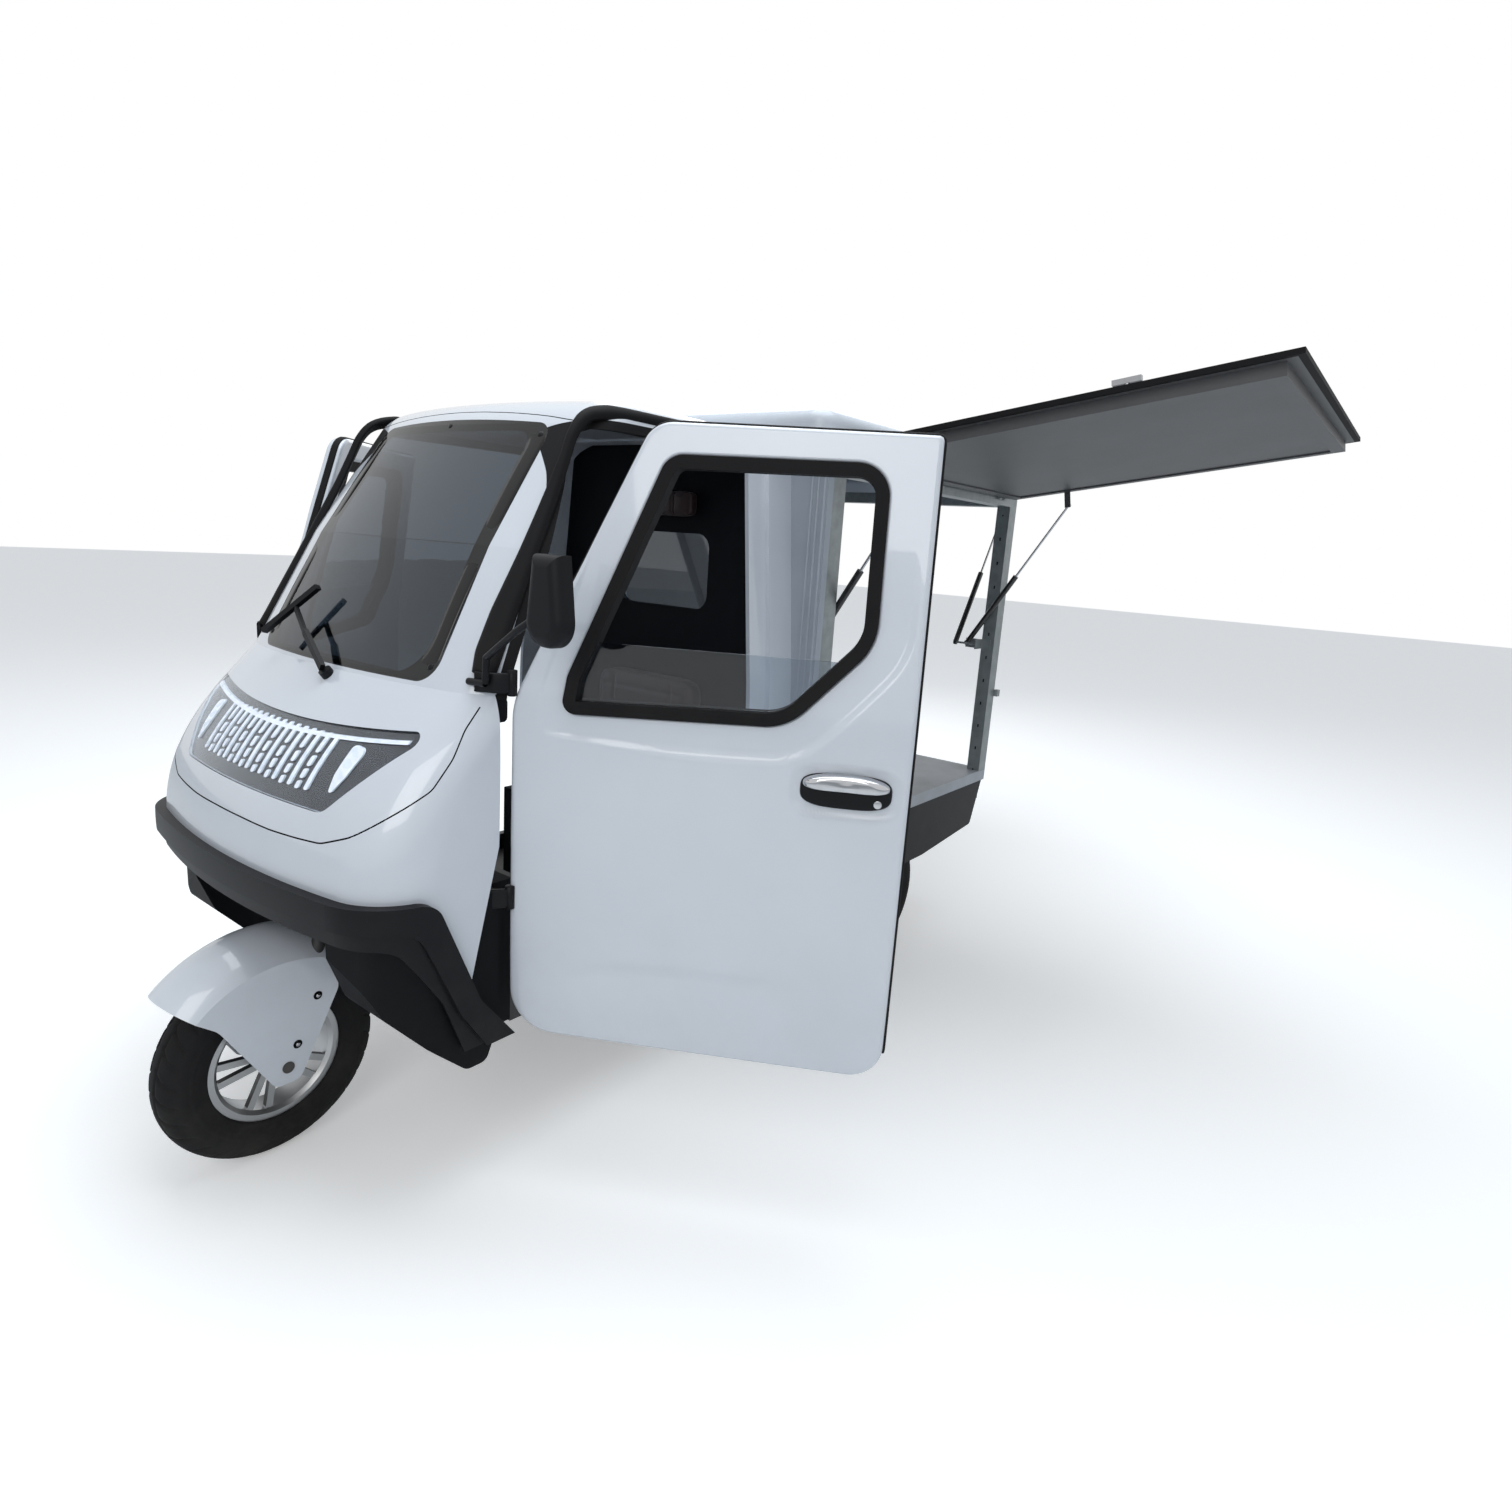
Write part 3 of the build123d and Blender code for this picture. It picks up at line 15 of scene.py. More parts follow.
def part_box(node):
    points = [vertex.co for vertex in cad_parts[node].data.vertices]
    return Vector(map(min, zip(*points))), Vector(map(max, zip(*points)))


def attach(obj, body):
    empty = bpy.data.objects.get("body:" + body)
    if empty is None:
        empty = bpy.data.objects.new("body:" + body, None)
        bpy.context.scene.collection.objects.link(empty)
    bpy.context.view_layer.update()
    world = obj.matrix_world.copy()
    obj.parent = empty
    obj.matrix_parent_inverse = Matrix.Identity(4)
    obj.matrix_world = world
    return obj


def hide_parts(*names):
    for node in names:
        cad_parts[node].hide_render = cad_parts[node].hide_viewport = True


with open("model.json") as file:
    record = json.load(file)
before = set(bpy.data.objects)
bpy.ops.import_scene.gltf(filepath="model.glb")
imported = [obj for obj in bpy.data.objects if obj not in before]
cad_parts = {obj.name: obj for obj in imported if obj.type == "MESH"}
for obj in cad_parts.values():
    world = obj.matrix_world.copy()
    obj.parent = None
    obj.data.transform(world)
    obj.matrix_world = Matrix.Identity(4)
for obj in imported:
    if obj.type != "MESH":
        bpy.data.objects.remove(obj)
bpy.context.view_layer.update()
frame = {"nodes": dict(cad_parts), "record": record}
nodes = frame["nodes"]
record = frame["record"]

# %% [markdown]
# The sizes below repeat the places that the pieces are fitted to: the door hinge line, the wheel
# centres, the angles at which the doors stand open, and the belt and the eave of the cab, between
# which its sides lean inwards. They are in metres, in the model's own frame: X forward, Y to the
# vehicle's left, Z up from the cargo floor.

# %% Places on the vehicle
GROUND = -0.607
AXLE_Z = -0.371
FRONT_AXLE = np.array([1.890, 0.0, AXLE_Z])
REAR_AXLE = np.array([0.0, 0.465, AXLE_Z])
DOOR_HINGE = np.array([1.620, 0.500])
LEFT_DOOR_OPEN = math.radians(60.6)
RIGHT_DOOR_OPEN = math.radians(38.0)
BELT_Y, BELT_Z = 0.500, 0.497
EAVE_Y, EAVE_Z = 0.440, 1.047
LEAN = (BELT_Y - EAVE_Y) / (EAVE_Z - BELT_Z)
print("sideways lean of the upper cab", round(LEAN, 3))

# %% [markdown]
# Most new surfaces are worked out as whole arrays. A surface is a grid of points, one row for each
# step along it and one column for each step across. Only the list of corner numbers is needed to
# make it a mesh, and that list is the same for every grid of one size.

# %% Turning grids of points into pieces


def grid_faces(rows, columns, loop_rows=False, loop_columns=False):
    """Four corner numbers for each cell of a grid: r*columns + c and its three neighbours."""
    r = np.arange(rows if loop_rows else rows - 1)[:, None]
    c = np.arange(columns if loop_columns else columns - 1)[None, :]
    r, c = np.broadcast_arrays(r, c)
    down, right = (r + 1) % rows, (c + 1) % columns
    cells = np.stack([r * columns + c, down * columns + c, down * columns + right, r * columns + right], -1)
    return cells.reshape(-1, 4)


def end_caps(rows, columns):
    """Corner lists that close a tube-shaped grid at its first and its last row."""
    end = rows * columns
    return [list(range(columns)), list(range(end - 1, end - columns - 1, -1))]


def unit(vectors):
    """The same vectors with a length of one: each is divided by its norm."""
    return vectors / np.linalg.norm(vectors, axis=-1, keepdims=True)


def volume_of(points, faces):
    """Signed volume: a sixth of the sum of a . (b x c) over the two triangles of each face."""
    a, b, c, d = (points[faces[:, k]] for k in range(4))
    return (np.einsum("ij,ij->", a, np.cross(b, c)) + np.einsum("ij,ij->", a, np.cross(c, d))) / 6


def make_piece(name, points, faces, material, body, caps=(), replaces=()):
    """Builds one piece from an (n, 3) array and four-cornered faces, and lets it ride a body."""
    points = np.asarray(points, float).reshape(-1, 3)
    faces = np.asarray(faces).reshape(-1, 4)
    if volume_of(points - points.mean(0), faces) < 0:
        faces = faces[:, ::-1]
        caps = [list(cap)[::-1] for cap in caps]
    mesh = bpy.data.meshes.new(name)
    mesh.from_pydata(points.tolist(), [], faces.tolist() + [list(map(int, cap)) for cap in caps])
    mesh.update()
    mesh.validate()
    mesh.polygons.foreach_set("use_smooth", np.ones(len(mesh.polygons), bool))
    mesh.materials.append(material)
    piece = bpy.data.objects.new(name, mesh)
    bpy.context.scene.collection.objects.link(piece)
    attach(piece, body)
    if replaces:
        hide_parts(*replaces)
    return piece


def join_grids(grids):
    """Stacks several (points, faces, caps) sets into one, shifting the corner numbers."""
    points, faces, caps, start = [], [], [], 0
    for p, f, c in grids:
        p = np.asarray(p, float).reshape(-1, 3)
        points.append(p)
        faces.append(np.asarray(f).reshape(-1, 4) + start)
        caps += [[int(k) + start for k in cap] for cap in c]
        start += len(p)
    return np.concatenate(points), np.concatenate(faces), caps


def join_piece(name, grids, material, body):
    """One piece made of several (points, faces, caps) sets."""
    points, faces, caps = join_grids(grids)
    return make_piece(name, points, faces, material, body, caps=caps)


def sweep(path, profile, up=(0, 0, 1), scale=None):
    """Carries a closed profile along an open path.

    At each point the path's direction t gives side = t x up and rise = side x t; a profile point
    (a, b) goes to path + a * side + b * rise.
    """
    path, profile = np.asarray(path, float), np.asarray(profile, float)
    t = unit(np.gradient(path, axis=0))
    side = unit(np.cross(t, np.asarray(up, float)))
    rise = np.cross(side, t)
    size = np.ones(len(path)) if scale is None else np.asarray(scale, float)
    a = profile[None, :, 0, None] * size[:, None, None]
    b = profile[None, :, 1, None] * size[:, None, None]
    points = path[:, None, :] + side[:, None, :] * a + rise[:, None, :] * b
    shape = len(path), len(profile)
    return points.reshape(-1, 3), grid_faces(*shape, False, True), end_caps(*shape)


def circle(radius, sides=16, squash=1.0):
    """Points of a circle (or ellipse) of that many sides."""
    a = np.linspace(0, 2 * math.pi, sides, endpoint=False)
    return np.stack([radius * np.cos(a), radius * squash * np.sin(a)], -1)


def rounded(corners, steps=8):
    """Closed outline with rounded corners.

    Each corner (x, y, r) is cut back by r / tan(half its angle) along both sides, and an arc about
    the centre on its bisector joins the two cuts.
    """
    table = np.asarray(corners, float)
    out = []
    for k, (x, y, r) in enumerate(table):
        p = np.array([x, y])
        before, after = table[k - 1, :2] - p, table[(k + 1) % len(table), :2] - p
        before, after = before / np.linalg.norm(before), after / np.linalg.norm(after)
        half = math.acos(float(np.clip(before @ after, -1, 1))) / 2
        if r <= 0 or abs(half - math.pi / 2) < 1e-3:
            out.append(p[None])
            continue
        cut = r / math.tan(half)
        centre = p + (before + after) / np.linalg.norm(before + after) * r / math.sin(half)
        first, last = p + before * cut - centre, p + after * cut - centre
        start = math.atan2(first[1], first[0])
        turn = (math.atan2(last[1], last[0]) - start + math.pi) % (2 * math.pi) - math.pi
        a = start + turn * np.linspace(0, 1, steps)
        out.append(centre + r * np.stack([np.cos(a), np.sin(a)], -1))
    return np.concatenate(out)


def even(outline, count, closed=True):
    """The same line with evenly spaced points: each coordinate is read off along its length."""
    line = np.concatenate([outline, outline[:1]]) if closed else np.asarray(outline, float)
    run = np.concatenate([[0], np.cumsum(np.linalg.norm(np.diff(line, axis=0), axis=1))])
    at = np.linspace(0, run[-1], count, endpoint=not closed)
    return np.stack([np.interp(at, run, line[:, k]) for k in range(line.shape[1])], -1)


def smooth_step(x, low, high):
    """0 below low, 1 above high, and 3t^2 - 2t^3 between."""
    t = np.clip((x - low) / (high - low), 0, 1)
    return t * t * (3 - 2 * t)


print("grid of 3 by 4 has", len(grid_faces(3, 4)), "faces")

# %% [markdown]
# The camera stands where the photographer stood: in front of the vehicle and to its left, at about
# chest height, looking slightly down. Its place and turn were worked out from the edges of the box
# and the wheels. A small lens shift puts the picture's middle where the photograph has it.

# %% The camera
CAMERA_PLACE = Vector((2.7247, 1.9312, 0.8190))
CAMERA_YAW, CAMERA_PITCH, CAMERA_ROLL = -2.4988, -0.2038, -0.0675
ahead = Vector((math.cos(CAMERA_YAW) * math.cos(CAMERA_PITCH),
                math.sin(CAMERA_YAW) * math.cos(CAMERA_PITCH), math.sin(CAMERA_PITCH)))
level_right = Vector((math.sin(CAMERA_YAW), -math.cos(CAMERA_YAW), 0))
level_down = ahead.cross(level_right)
right = math.cos(CAMERA_ROLL) * level_right + math.sin(CAMERA_ROLL) * level_down
down = -math.sin(CAMERA_ROLL) * level_right + math.cos(CAMERA_ROLL) * level_down
camera_data = bpy.data.cameras.new("camera")
camera_data.sensor_width = 36
camera_data.lens = 21.402
camera_data.shift_x = 0.00093
camera_data.shift_y = -0.01673
camera_data.clip_end = 60
camera = bpy.data.objects.new("camera", camera_data)
camera.matrix_world = Matrix.Translation(CAMERA_PLACE) @ Matrix((right, -down, -ahead)).transposed().to_4x4()
bpy.context.scene.collection.objects.link(camera)
bpy.context.scene.camera = camera
bpy.context.scene.view_settings.view_transform = "Standard"
print("camera at", tuple(round(v, 2) for v in CAMERA_PLACE))

# %% [markdown]
# Sky, floor and every finish are small networks of shader nodes. These helpers add a node, link
# sockets and start a material, so that each network further on reads as a list.

# %% Helpers for shader nodes


def add_node(tree, kind, settings=(), values=()):
    """One node with some of its properties and input values set."""
    node = tree.nodes.new(kind)
    for key, value in dict(settings).items():
        setattr(node, key, value)
    for key, value in dict(values).items():
        node.inputs[key].default_value = value
    return node


def arithmetic(tree, operation, values=()):
    """A node that does one sum on its inputs."""
    return add_node(tree, "ShaderNodeMath", {"operation": operation}, values)


def connect(tree, *rows):
    """Links sockets: each row is a node, its output, the next node and that one's input."""
    for source, output, target, socket in rows:
        tree.links.new(source.outputs[output], target.inputs[socket])


def new_material(name):
    """A material with nodes: itself, its tree and its Principled shader."""
    material = bpy.data.materials.new(name)
    material.use_nodes = True
    return material, material.node_tree, material.node_tree.nodes["Principled BSDF"]


print("node helpers ready")

# %% [markdown]
# The studio is a pale floor, a pale sky and three large soft lamps. The sky has two strengths. What
# the camera, glass and chrome see of it is nearly white, while the light that it casts is weaker,
# so the white paint keeps its shading instead of washing out.

# %% The studio


def soft_lamp(name, place, aim, size, power, colour):
    """A square area lamp at a place, turned to face a point."""
    data = bpy.data.lights.new(name, "AREA")
    data.shape = "SQUARE"
    data.size = size
    data.energy = power
    data.color = colour
    lamp = bpy.data.objects.new(name, data)
    lamp.location = place
    lamp.rotation_mode = "QUATERNION"
    lamp.rotation_quaternion = (Vector(aim) - Vector(place)).to_track_quat("-Z", "Y")
    bpy.context.scene.collection.objects.link(lamp)
    return lamp


soft_lamp("overhead_lamp", (0.6, 0.4, 5.0), (0.6, 0.0, 0.0), 4.5, 190, (0.90, 0.96, 1.0))
soft_lamp("front_lamp", (5.2, 2.6, 2.8), (1.2, 0.0, 0.2), 2.6, 60, (1.0, 0.98, 0.95))
soft_lamp("rear_lamp", (-3.6, -3.0, 3.2), (0.2, 0.0, 0.3), 3.0, 60, (1.0, 0.98, 0.95))

world = bpy.data.worlds.new("studio_sky")
bpy.context.scene.world = world
world.use_nodes = True
sky = world.node_tree
sky.nodes.clear()
seen = add_node(sky, "ShaderNodeBackground", (), {"Color": (1.0, 1.0, 1.0, 1), "Strength": 1.0})
given = add_node(sky, "ShaderNodeBackground", (), {"Color": (0.88, 0.94, 1.0, 1), "Strength": 0.42})
ray_kind = add_node(sky, "ShaderNodeLightPath")
pick = add_node(sky, "ShaderNodeMixShader")
either = arithmetic(sky, "MAXIMUM")
glossy = arithmetic(sky, "MULTIPLY_ADD", {1: 0.75})
sky_out = add_node(sky, "ShaderNodeOutputWorld")
connect(sky, (ray_kind, "Is Camera Ray", either, 0), (ray_kind, "Is Transmission Ray", either, 1),
        (ray_kind, "Is Glossy Ray", glossy, 0), (either, 0, glossy, 2), (glossy, 0, pick, "Fac"),
        (given, 0, pick, 1), (seen, 0, pick, 2), (pick, 0, sky_out, "Surface"))

FLOOR_HALF = 30
floor_corners = [(x * FLOOR_HALF, y * FLOOR_HALF, GROUND) for x, y in ((-1, -1), (1, -1), (1, 1), (-1, 1))]
floor_mesh = bpy.data.meshes.new("studio_floor")
floor_mesh.from_pydata(floor_corners, [], [(0, 1, 2, 3)])
studio_floor = bpy.data.objects.new("studio_floor", floor_mesh)
bpy.context.scene.collection.objects.link(studio_floor)
floor_material, floor_tree, floor_shader = new_material("studio_floor")
floor_shader.inputs["Base Color"].default_value = (0.93, 0.94, 0.95, 1)
floor_shader.inputs["Roughness"].default_value = 0.9
floor_shader.inputs["Specular IOR Level"].default_value = 0.1
floor_glow = add_node(floor_tree, "ShaderNodeEmission", (), {"Color": (1.0, 1.0, 1.0, 1), "Strength": 0.30})
floor_sum = add_node(floor_tree, "ShaderNodeAddShader")
floor_path = add_node(floor_tree, "ShaderNodeLightPath")
floor_pick = add_node(floor_tree, "ShaderNodeMixShader")
connect(floor_tree, (floor_shader, 0, floor_sum, 0), (floor_glow, 0, floor_sum, 1),
        (floor_path, "Is Camera Ray", floor_pick, "Fac"), (floor_shader, 0, floor_pick, 1),
        (floor_sum, 0, floor_pick, 2), (floor_pick, 0, floor_tree.nodes["Material Output"], "Surface"))
floor_mesh.materials.append(floor_material)
print("lamps and floor ready")

# %% [markdown]
# Several finishes share an effect: dust that settles low on the body, a fine grain, and streaks of
# brushed metal. Each effect is a small node group with named sockets, built once. A group only gives
# out colours and values; the shader itself stays in each material.

# %% Shared effects as node groups


def new_group(name, inputs, outputs):
    """An empty shader group with its sockets: (name, kind, value) in, (name, kind) out."""
    group = bpy.data.node_groups.new(name, "ShaderNodeTree")
    for label, kind, value in inputs:
        made = group.interface.new_socket(name=label, in_out="INPUT", socket_type=kind)
        made.default_value = value
    for label, kind in outputs:
        group.interface.new_socket(name=label, in_out="OUTPUT", socket_type=kind)
    return group, group.nodes.new("NodeGroupInput"), group.nodes.new("NodeGroupOutput")


FLOAT, COLOUR, VECTOR = "NodeSocketFloat", "NodeSocketColor", "NodeSocketVector"

dust_group, dust_in, dust_out = new_group(
    "road_dust",
    [("Color", COLOUR, (1, 1, 1, 1)), ("Roughness", FLOAT, 0.3), ("Dust", FLOAT, 0.3),
     ("Low", FLOAT, -0.5), ("High", FLOAT, 0.2)],
    [("Color", COLOUR), ("Roughness", FLOAT), ("Mask", FLOAT)])
place = add_node(dust_group, "ShaderNodeTexCoord")
split = add_node(dust_group, "ShaderNodeSeparateXYZ")
fall = add_node(dust_group, "ShaderNodeMapRange", {"interpolation_type": "SMOOTHSTEP"},
                {"To Min": 1.0, "To Max": 0.06})
cloud = add_node(dust_group, "ShaderNodeTexNoise", (), {"Scale": 7.0, "Detail": 7.0, "Roughness": 0.62})
contrast = add_node(dust_group, "ShaderNodeMapRange", (), {"From Min": 0.34, "From Max": 0.72})
amount = arithmetic(dust_group, "MULTIPLY")
strength = add_node(dust_group, "ShaderNodeMath", {"operation": "MULTIPLY", "use_clamp": True})
tint = add_node(dust_group, "ShaderNodeMix", {"data_type": "RGBA"})
tint.inputs[7].default_value = (0.30, 0.275, 0.24, 1)
dull = add_node(dust_group, "ShaderNodeMix", {"data_type": "FLOAT"})
dull.inputs[3].default_value = 0.85
connect(dust_group, (place, "Object", split, 0), (split, "Z", fall, "Value"),
        (dust_in, "Low", fall, "From Min"), (dust_in, "High", fall, "From Max"),
        (place, "Object", cloud, "Vector"), (cloud, 0, contrast, "Value"), (fall, 0, amount, 0),
        (contrast, 0, amount, 1), (amount, 0, strength, 0), (dust_in, "Dust", strength, 1),
        (strength, 0, tint, 0), (dust_in, "Color", tint, 6), (strength, 0, dull, 0),
        (dust_in, "Roughness", dull, 2), (tint, 2, dust_out, "Color"), (dull, 0, dust_out, "Roughness"),
        (strength, 0, dust_out, "Mask"))

grain_group, grain_in, grain_out = new_group(
    "grain", [("Scale", FLOAT, 400.0), ("Stretch", VECTOR, (1, 1, 1)), ("Detail", FLOAT, 3.0)],
    [("Height", FLOAT), ("Spread", FLOAT)])
grain_place = add_node(grain_group, "ShaderNodeTexCoord")
grain_map = add_node(grain_group, "ShaderNodeVectorMath", {"operation": "MULTIPLY"})
grain_noise = add_node(grain_group, "ShaderNodeTexNoise", (), {"Roughness": 0.55})
grain_spread = add_node(grain_group, "ShaderNodeMapRange", (), {"From Min": 0.3, "From Max": 0.7})
connect(grain_group, (grain_place, "Object", grain_map, 0), (grain_in, "Stretch", grain_map, 1),
        (grain_map, 0, grain_noise, "Vector"), (grain_in, "Scale", grain_noise, "Scale"),
        (grain_in, "Detail", grain_noise, "Detail"), (grain_noise, 0, grain_out, "Height"),
        (grain_noise, 0, grain_spread, "Value"), (grain_spread, 0, grain_out, "Spread"))
print("groups", [group.name for group in bpy.data.node_groups])

# %% [markdown]
# A finish is built from the same few steps: a base colour that varies a little, dust over it, and a
# grain that feeds both roughness and a bump. What is the same all over a surface, such as the clear
# coat's thickness, is set on the shader itself.

# %% A helper that builds one finish


def use_group(tree, group, values=()):
    """Places a node group in a material with its own values."""
    return add_node(tree, "ShaderNodeGroup", {"node_tree": group}, values)


def finish(name, colour, roughness, metallic=0.0, second=None, patch=9.0, dust=0.0, low=-0.6, high=0.3,
           grain=900.0, stretch=(1, 1, 1), bump=0.05, bump_size=0.0005, rough_spread=0.08, sockets=()):
    """A Principled finish: two tones mixed by a slow noise, dust, and a grain for gloss and bump."""
    material, tree, shader = new_material(name)
    shader.inputs["Metallic"].default_value = metallic
    for key, value in dict(sockets).items():
        shader.inputs[key].default_value = value
    second = second or tuple(0.86 * v for v in colour)
    patches = use_group(tree, grain_group, {"Scale": patch, "Detail": 4.0})
    tones = add_node(tree, "ShaderNodeMix", {"data_type": "RGBA"})
    tones.inputs[6].default_value = (*colour, 1)
    tones.inputs[7].default_value = (*second, 1)
    fine = use_group(tree, grain_group, {"Scale": grain, "Stretch": stretch})
    gloss = add_node(tree, "ShaderNodeMapRange", (), {"To Min": roughness - rough_spread / 2,
                                                     "To Max": roughness + rough_spread / 2})
    settle = use_group(tree, dust_group, {"Dust": dust, "Low": low, "High": high})
    relief = add_node(tree, "ShaderNodeBump", (), {"Strength": bump, "Distance": bump_size})
    connect(tree, (patches, "Spread", tones, 0), (tones, 2, settle, "Color"),
            (fine, "Height", gloss, "Value"), (gloss, 0, settle, "Roughness"),
            (settle, "Color", shader, "Base Color"), (settle, "Roughness", shader, "Roughness"),
            (fine, "Height", relief, "Height"), (relief, 0, shader, "Normal"))
    return material


COAT = {"Coat Weight": 1.0, "Coat Roughness": 0.04, "Coat IOR": 1.5}
FINISHES = {
    "body_white": ((0.66, 0.70, 0.76), 0.34, dict(second=(0.62, 0.66, 0.73), patch=2.0, dust=0.10,
        low=-0.35, high=0.3, bump=0.012, rough_spread=0.05, sockets=COAT)),
    "door_white": ((0.66, 0.70, 0.76), 0.34, dict(second=(0.62, 0.66, 0.73), patch=2.0, dust=0.12,
        low=-0.35, high=0.3, bump=0.012, rough_spread=0.05, sockets=COAT)),
    "roof_white": ((0.64, 0.69, 0.76), 0.42, dict(patch=2.5, dust=0.12, low=0.9, high=1.4, grain=700,
        bump=0.03, sockets={"Coat Weight": 0.35, "Coat Roughness": 0.15})),
    "panel_grey": ((0.085, 0.087, 0.092), 0.46, dict(second=(0.070, 0.072, 0.076), patch=4.0, dust=0.06,
        low=0.6, high=1.6, grain=600, bump=0.05)),
    "wall_grey": ((0.40, 0.44, 0.50), 0.40, dict(second=(0.35, 0.39, 0.45), patch=4.0, dust=0.10,
        low=0.0, high=1.0, grain=600, bump=0.05)),
    "floor_grey": ((0.46, 0.50, 0.55), 0.42, dict(patch=5.0, dust=0.35, low=-0.05, high=0.3, grain=500,
        bump=0.08)),
    "chassis_black": ((0.018, 0.018, 0.020), 0.45, dict(dust=0.35, low=-0.6, high=0.2, grain=300,
        bump=0.12)),
    "axle_steel": ((0.05, 0.05, 0.052), 0.55, dict(metallic=0.5, dust=0.5, low=-0.6, high=0.1,
        grain=240, bump=0.3)),
    "plastic_black": ((0.004, 0.0045, 0.006), 0.60, dict(dust=0.05, low=-0.6, high=0.0, grain=1500,
        bump=0.25, bump_size=0.0003, sockets={"Specular IOR Level": 0.12})),
    "trim_black": ((0.0055, 0.006, 0.008), 0.42, dict(patch=7.0, dust=0.05, low=-0.4, high=0.3,
        grain=1300, bump=0.12, bump_size=0.0003, sockets={"Specular IOR Level": 0.18})),
    "cabin_navy": ((0.0035, 0.0045, 0.008), 0.70, dict(patch=6.0, dust=0.02, low=-0.3, high=0.6,
        grain=1200, bump=0.35, bump_size=0.0004, sockets={"Specular IOR Level": 0.2})),
    "seal_rubber": ((0.006, 0.006, 0.007), 0.66, dict(patch=12.0, dust=0.05, low=-0.4, high=1.2,
        bump=0.2, bump_size=0.0003, sockets={"Specular IOR Level": 0.15})),
    "tyre_rubber": ((0.006, 0.006, 0.007), 0.76, dict(patch=14.0, dust=0.12, low=-0.62, high=-0.2,
        grain=700, bump=0.35, bump_size=0.0005, sockets={"Specular IOR Level": 0.25})),
    "border_black": ((0.003, 0.003, 0.004), 0.12, dict(bump=0.005,
        sockets={"Specular IOR Level": 0.4})),
    "gap_dark": ((0.004, 0.004, 0.005), 0.8, dict(bump=0.02, sockets={"Specular IOR Level": 0.05})),
    "latch_steel": ((0.42, 0.43, 0.45), 0.24, dict(metallic=1.0, patch=30.0, grain=700,
        stretch=(1, 1, 6), bump=0.02)),
    "handle_chrome": ((0.62, 0.63, 0.65), 0.08, dict(metallic=1.0, patch=30.0, bump=0.01,
        rough_spread=0.06)),
    "strut_black": ((0.010, 0.010, 0.011), 0.28, dict(patch=20.0, bump=0.03,
        sockets={"Coat Weight": 0.6})),
    "rod_chrome": ((0.55, 0.56, 0.58), 0.14, dict(metallic=1.0, patch=30.0, bump=0.01)),
    "lamp_black": ((0.012, 0.014, 0.020), 0.22, dict(dust=0.05, low=0.2, high=0.6, bump=0.01,
        sockets=COAT)),
    "lamp_white": ((0.80, 0.84, 0.92), 0.25, dict(patch=40.0, bump=0.02,
        sockets={"Emission Color": (0.85, 0.92, 1.0, 1), "Emission Strength": 0.12})),
    "lamp_red": ((0.32, 0.010, 0.012), 0.16, dict(patch=40.0, grain=260, bump=0.25,
        sockets={"Coat Weight": 1.0})),
    "seat_leather": ((0.040, 0.017, 0.016), 0.50, dict(second=(0.028, 0.012, 0.012), patch=14.0,
        grain=520, bump=0.40, bump_size=0.0007, rough_spread=0.18,
        sockets={"Sheen Weight": 0.15, "Coat Weight": 0.12})),
}
paint = {name: finish(name, colour, roughness, **rest)
         for name, (colour, roughness, rest) in FINISHES.items()}
print("finishes", len(paint))

# %% [markdown]
# Glass is clear with a tint, so its shader is plain: a constant transmission, a dark smoky colour
# and a smooth surface. The windscreen is the darkest pane: its near-black colour is partly tint and
# partly painted shade standing for the dim cab behind it. Its black printed border comes later, as a
# thin piece of its own that lies on the glass.

# %% Glass finishes


def glass(name, colour, ior=1.45):
    """Smooth tinted glass with constant values on the shader's own sockets, and a trace of dust."""
    material, tree, shader = new_material(name)
    for key, value in (("Base Color", (*colour, 1)), ("Roughness", 0.0), ("IOR", ior),
                       ("Transmission Weight", 1.0)):
        shader.inputs[key].default_value = value
    smear = use_group(tree, dust_group, {"Roughness": 0.01, "Dust": 0.05, "Low": -0.2, "High": 1.0})
    connect(tree, (smear, "Roughness", shader, "Roughness"))
    return material


paint["glass_dark"] = glass("glass_dark", (0.62, 0.68, 0.74))
paint["wall_glass"] = glass("wall_glass", (0.70, 0.76, 0.82))
paint["lamp_clear"] = glass("lamp_clear", (0.90, 0.94, 0.98), ior=1.12)
# Near-black windscreen: partly tint, partly painted shade of the dim cab behind the glass.
paint["screen_glass"] = glass("screen_glass", (0.050, 0.066, 0.085), ior=1.5)
print("glass finishes ready")

# %% [markdown]
# The cast wheels are black in their hollows and bright where a lathe has cut them. A point is bright
# where the surface faces straight out along the axle, which its own normal tells, or where it lies
# on the rim's outer lip, which its distance from the axle tells.

# %% Turned and painted wheel finish


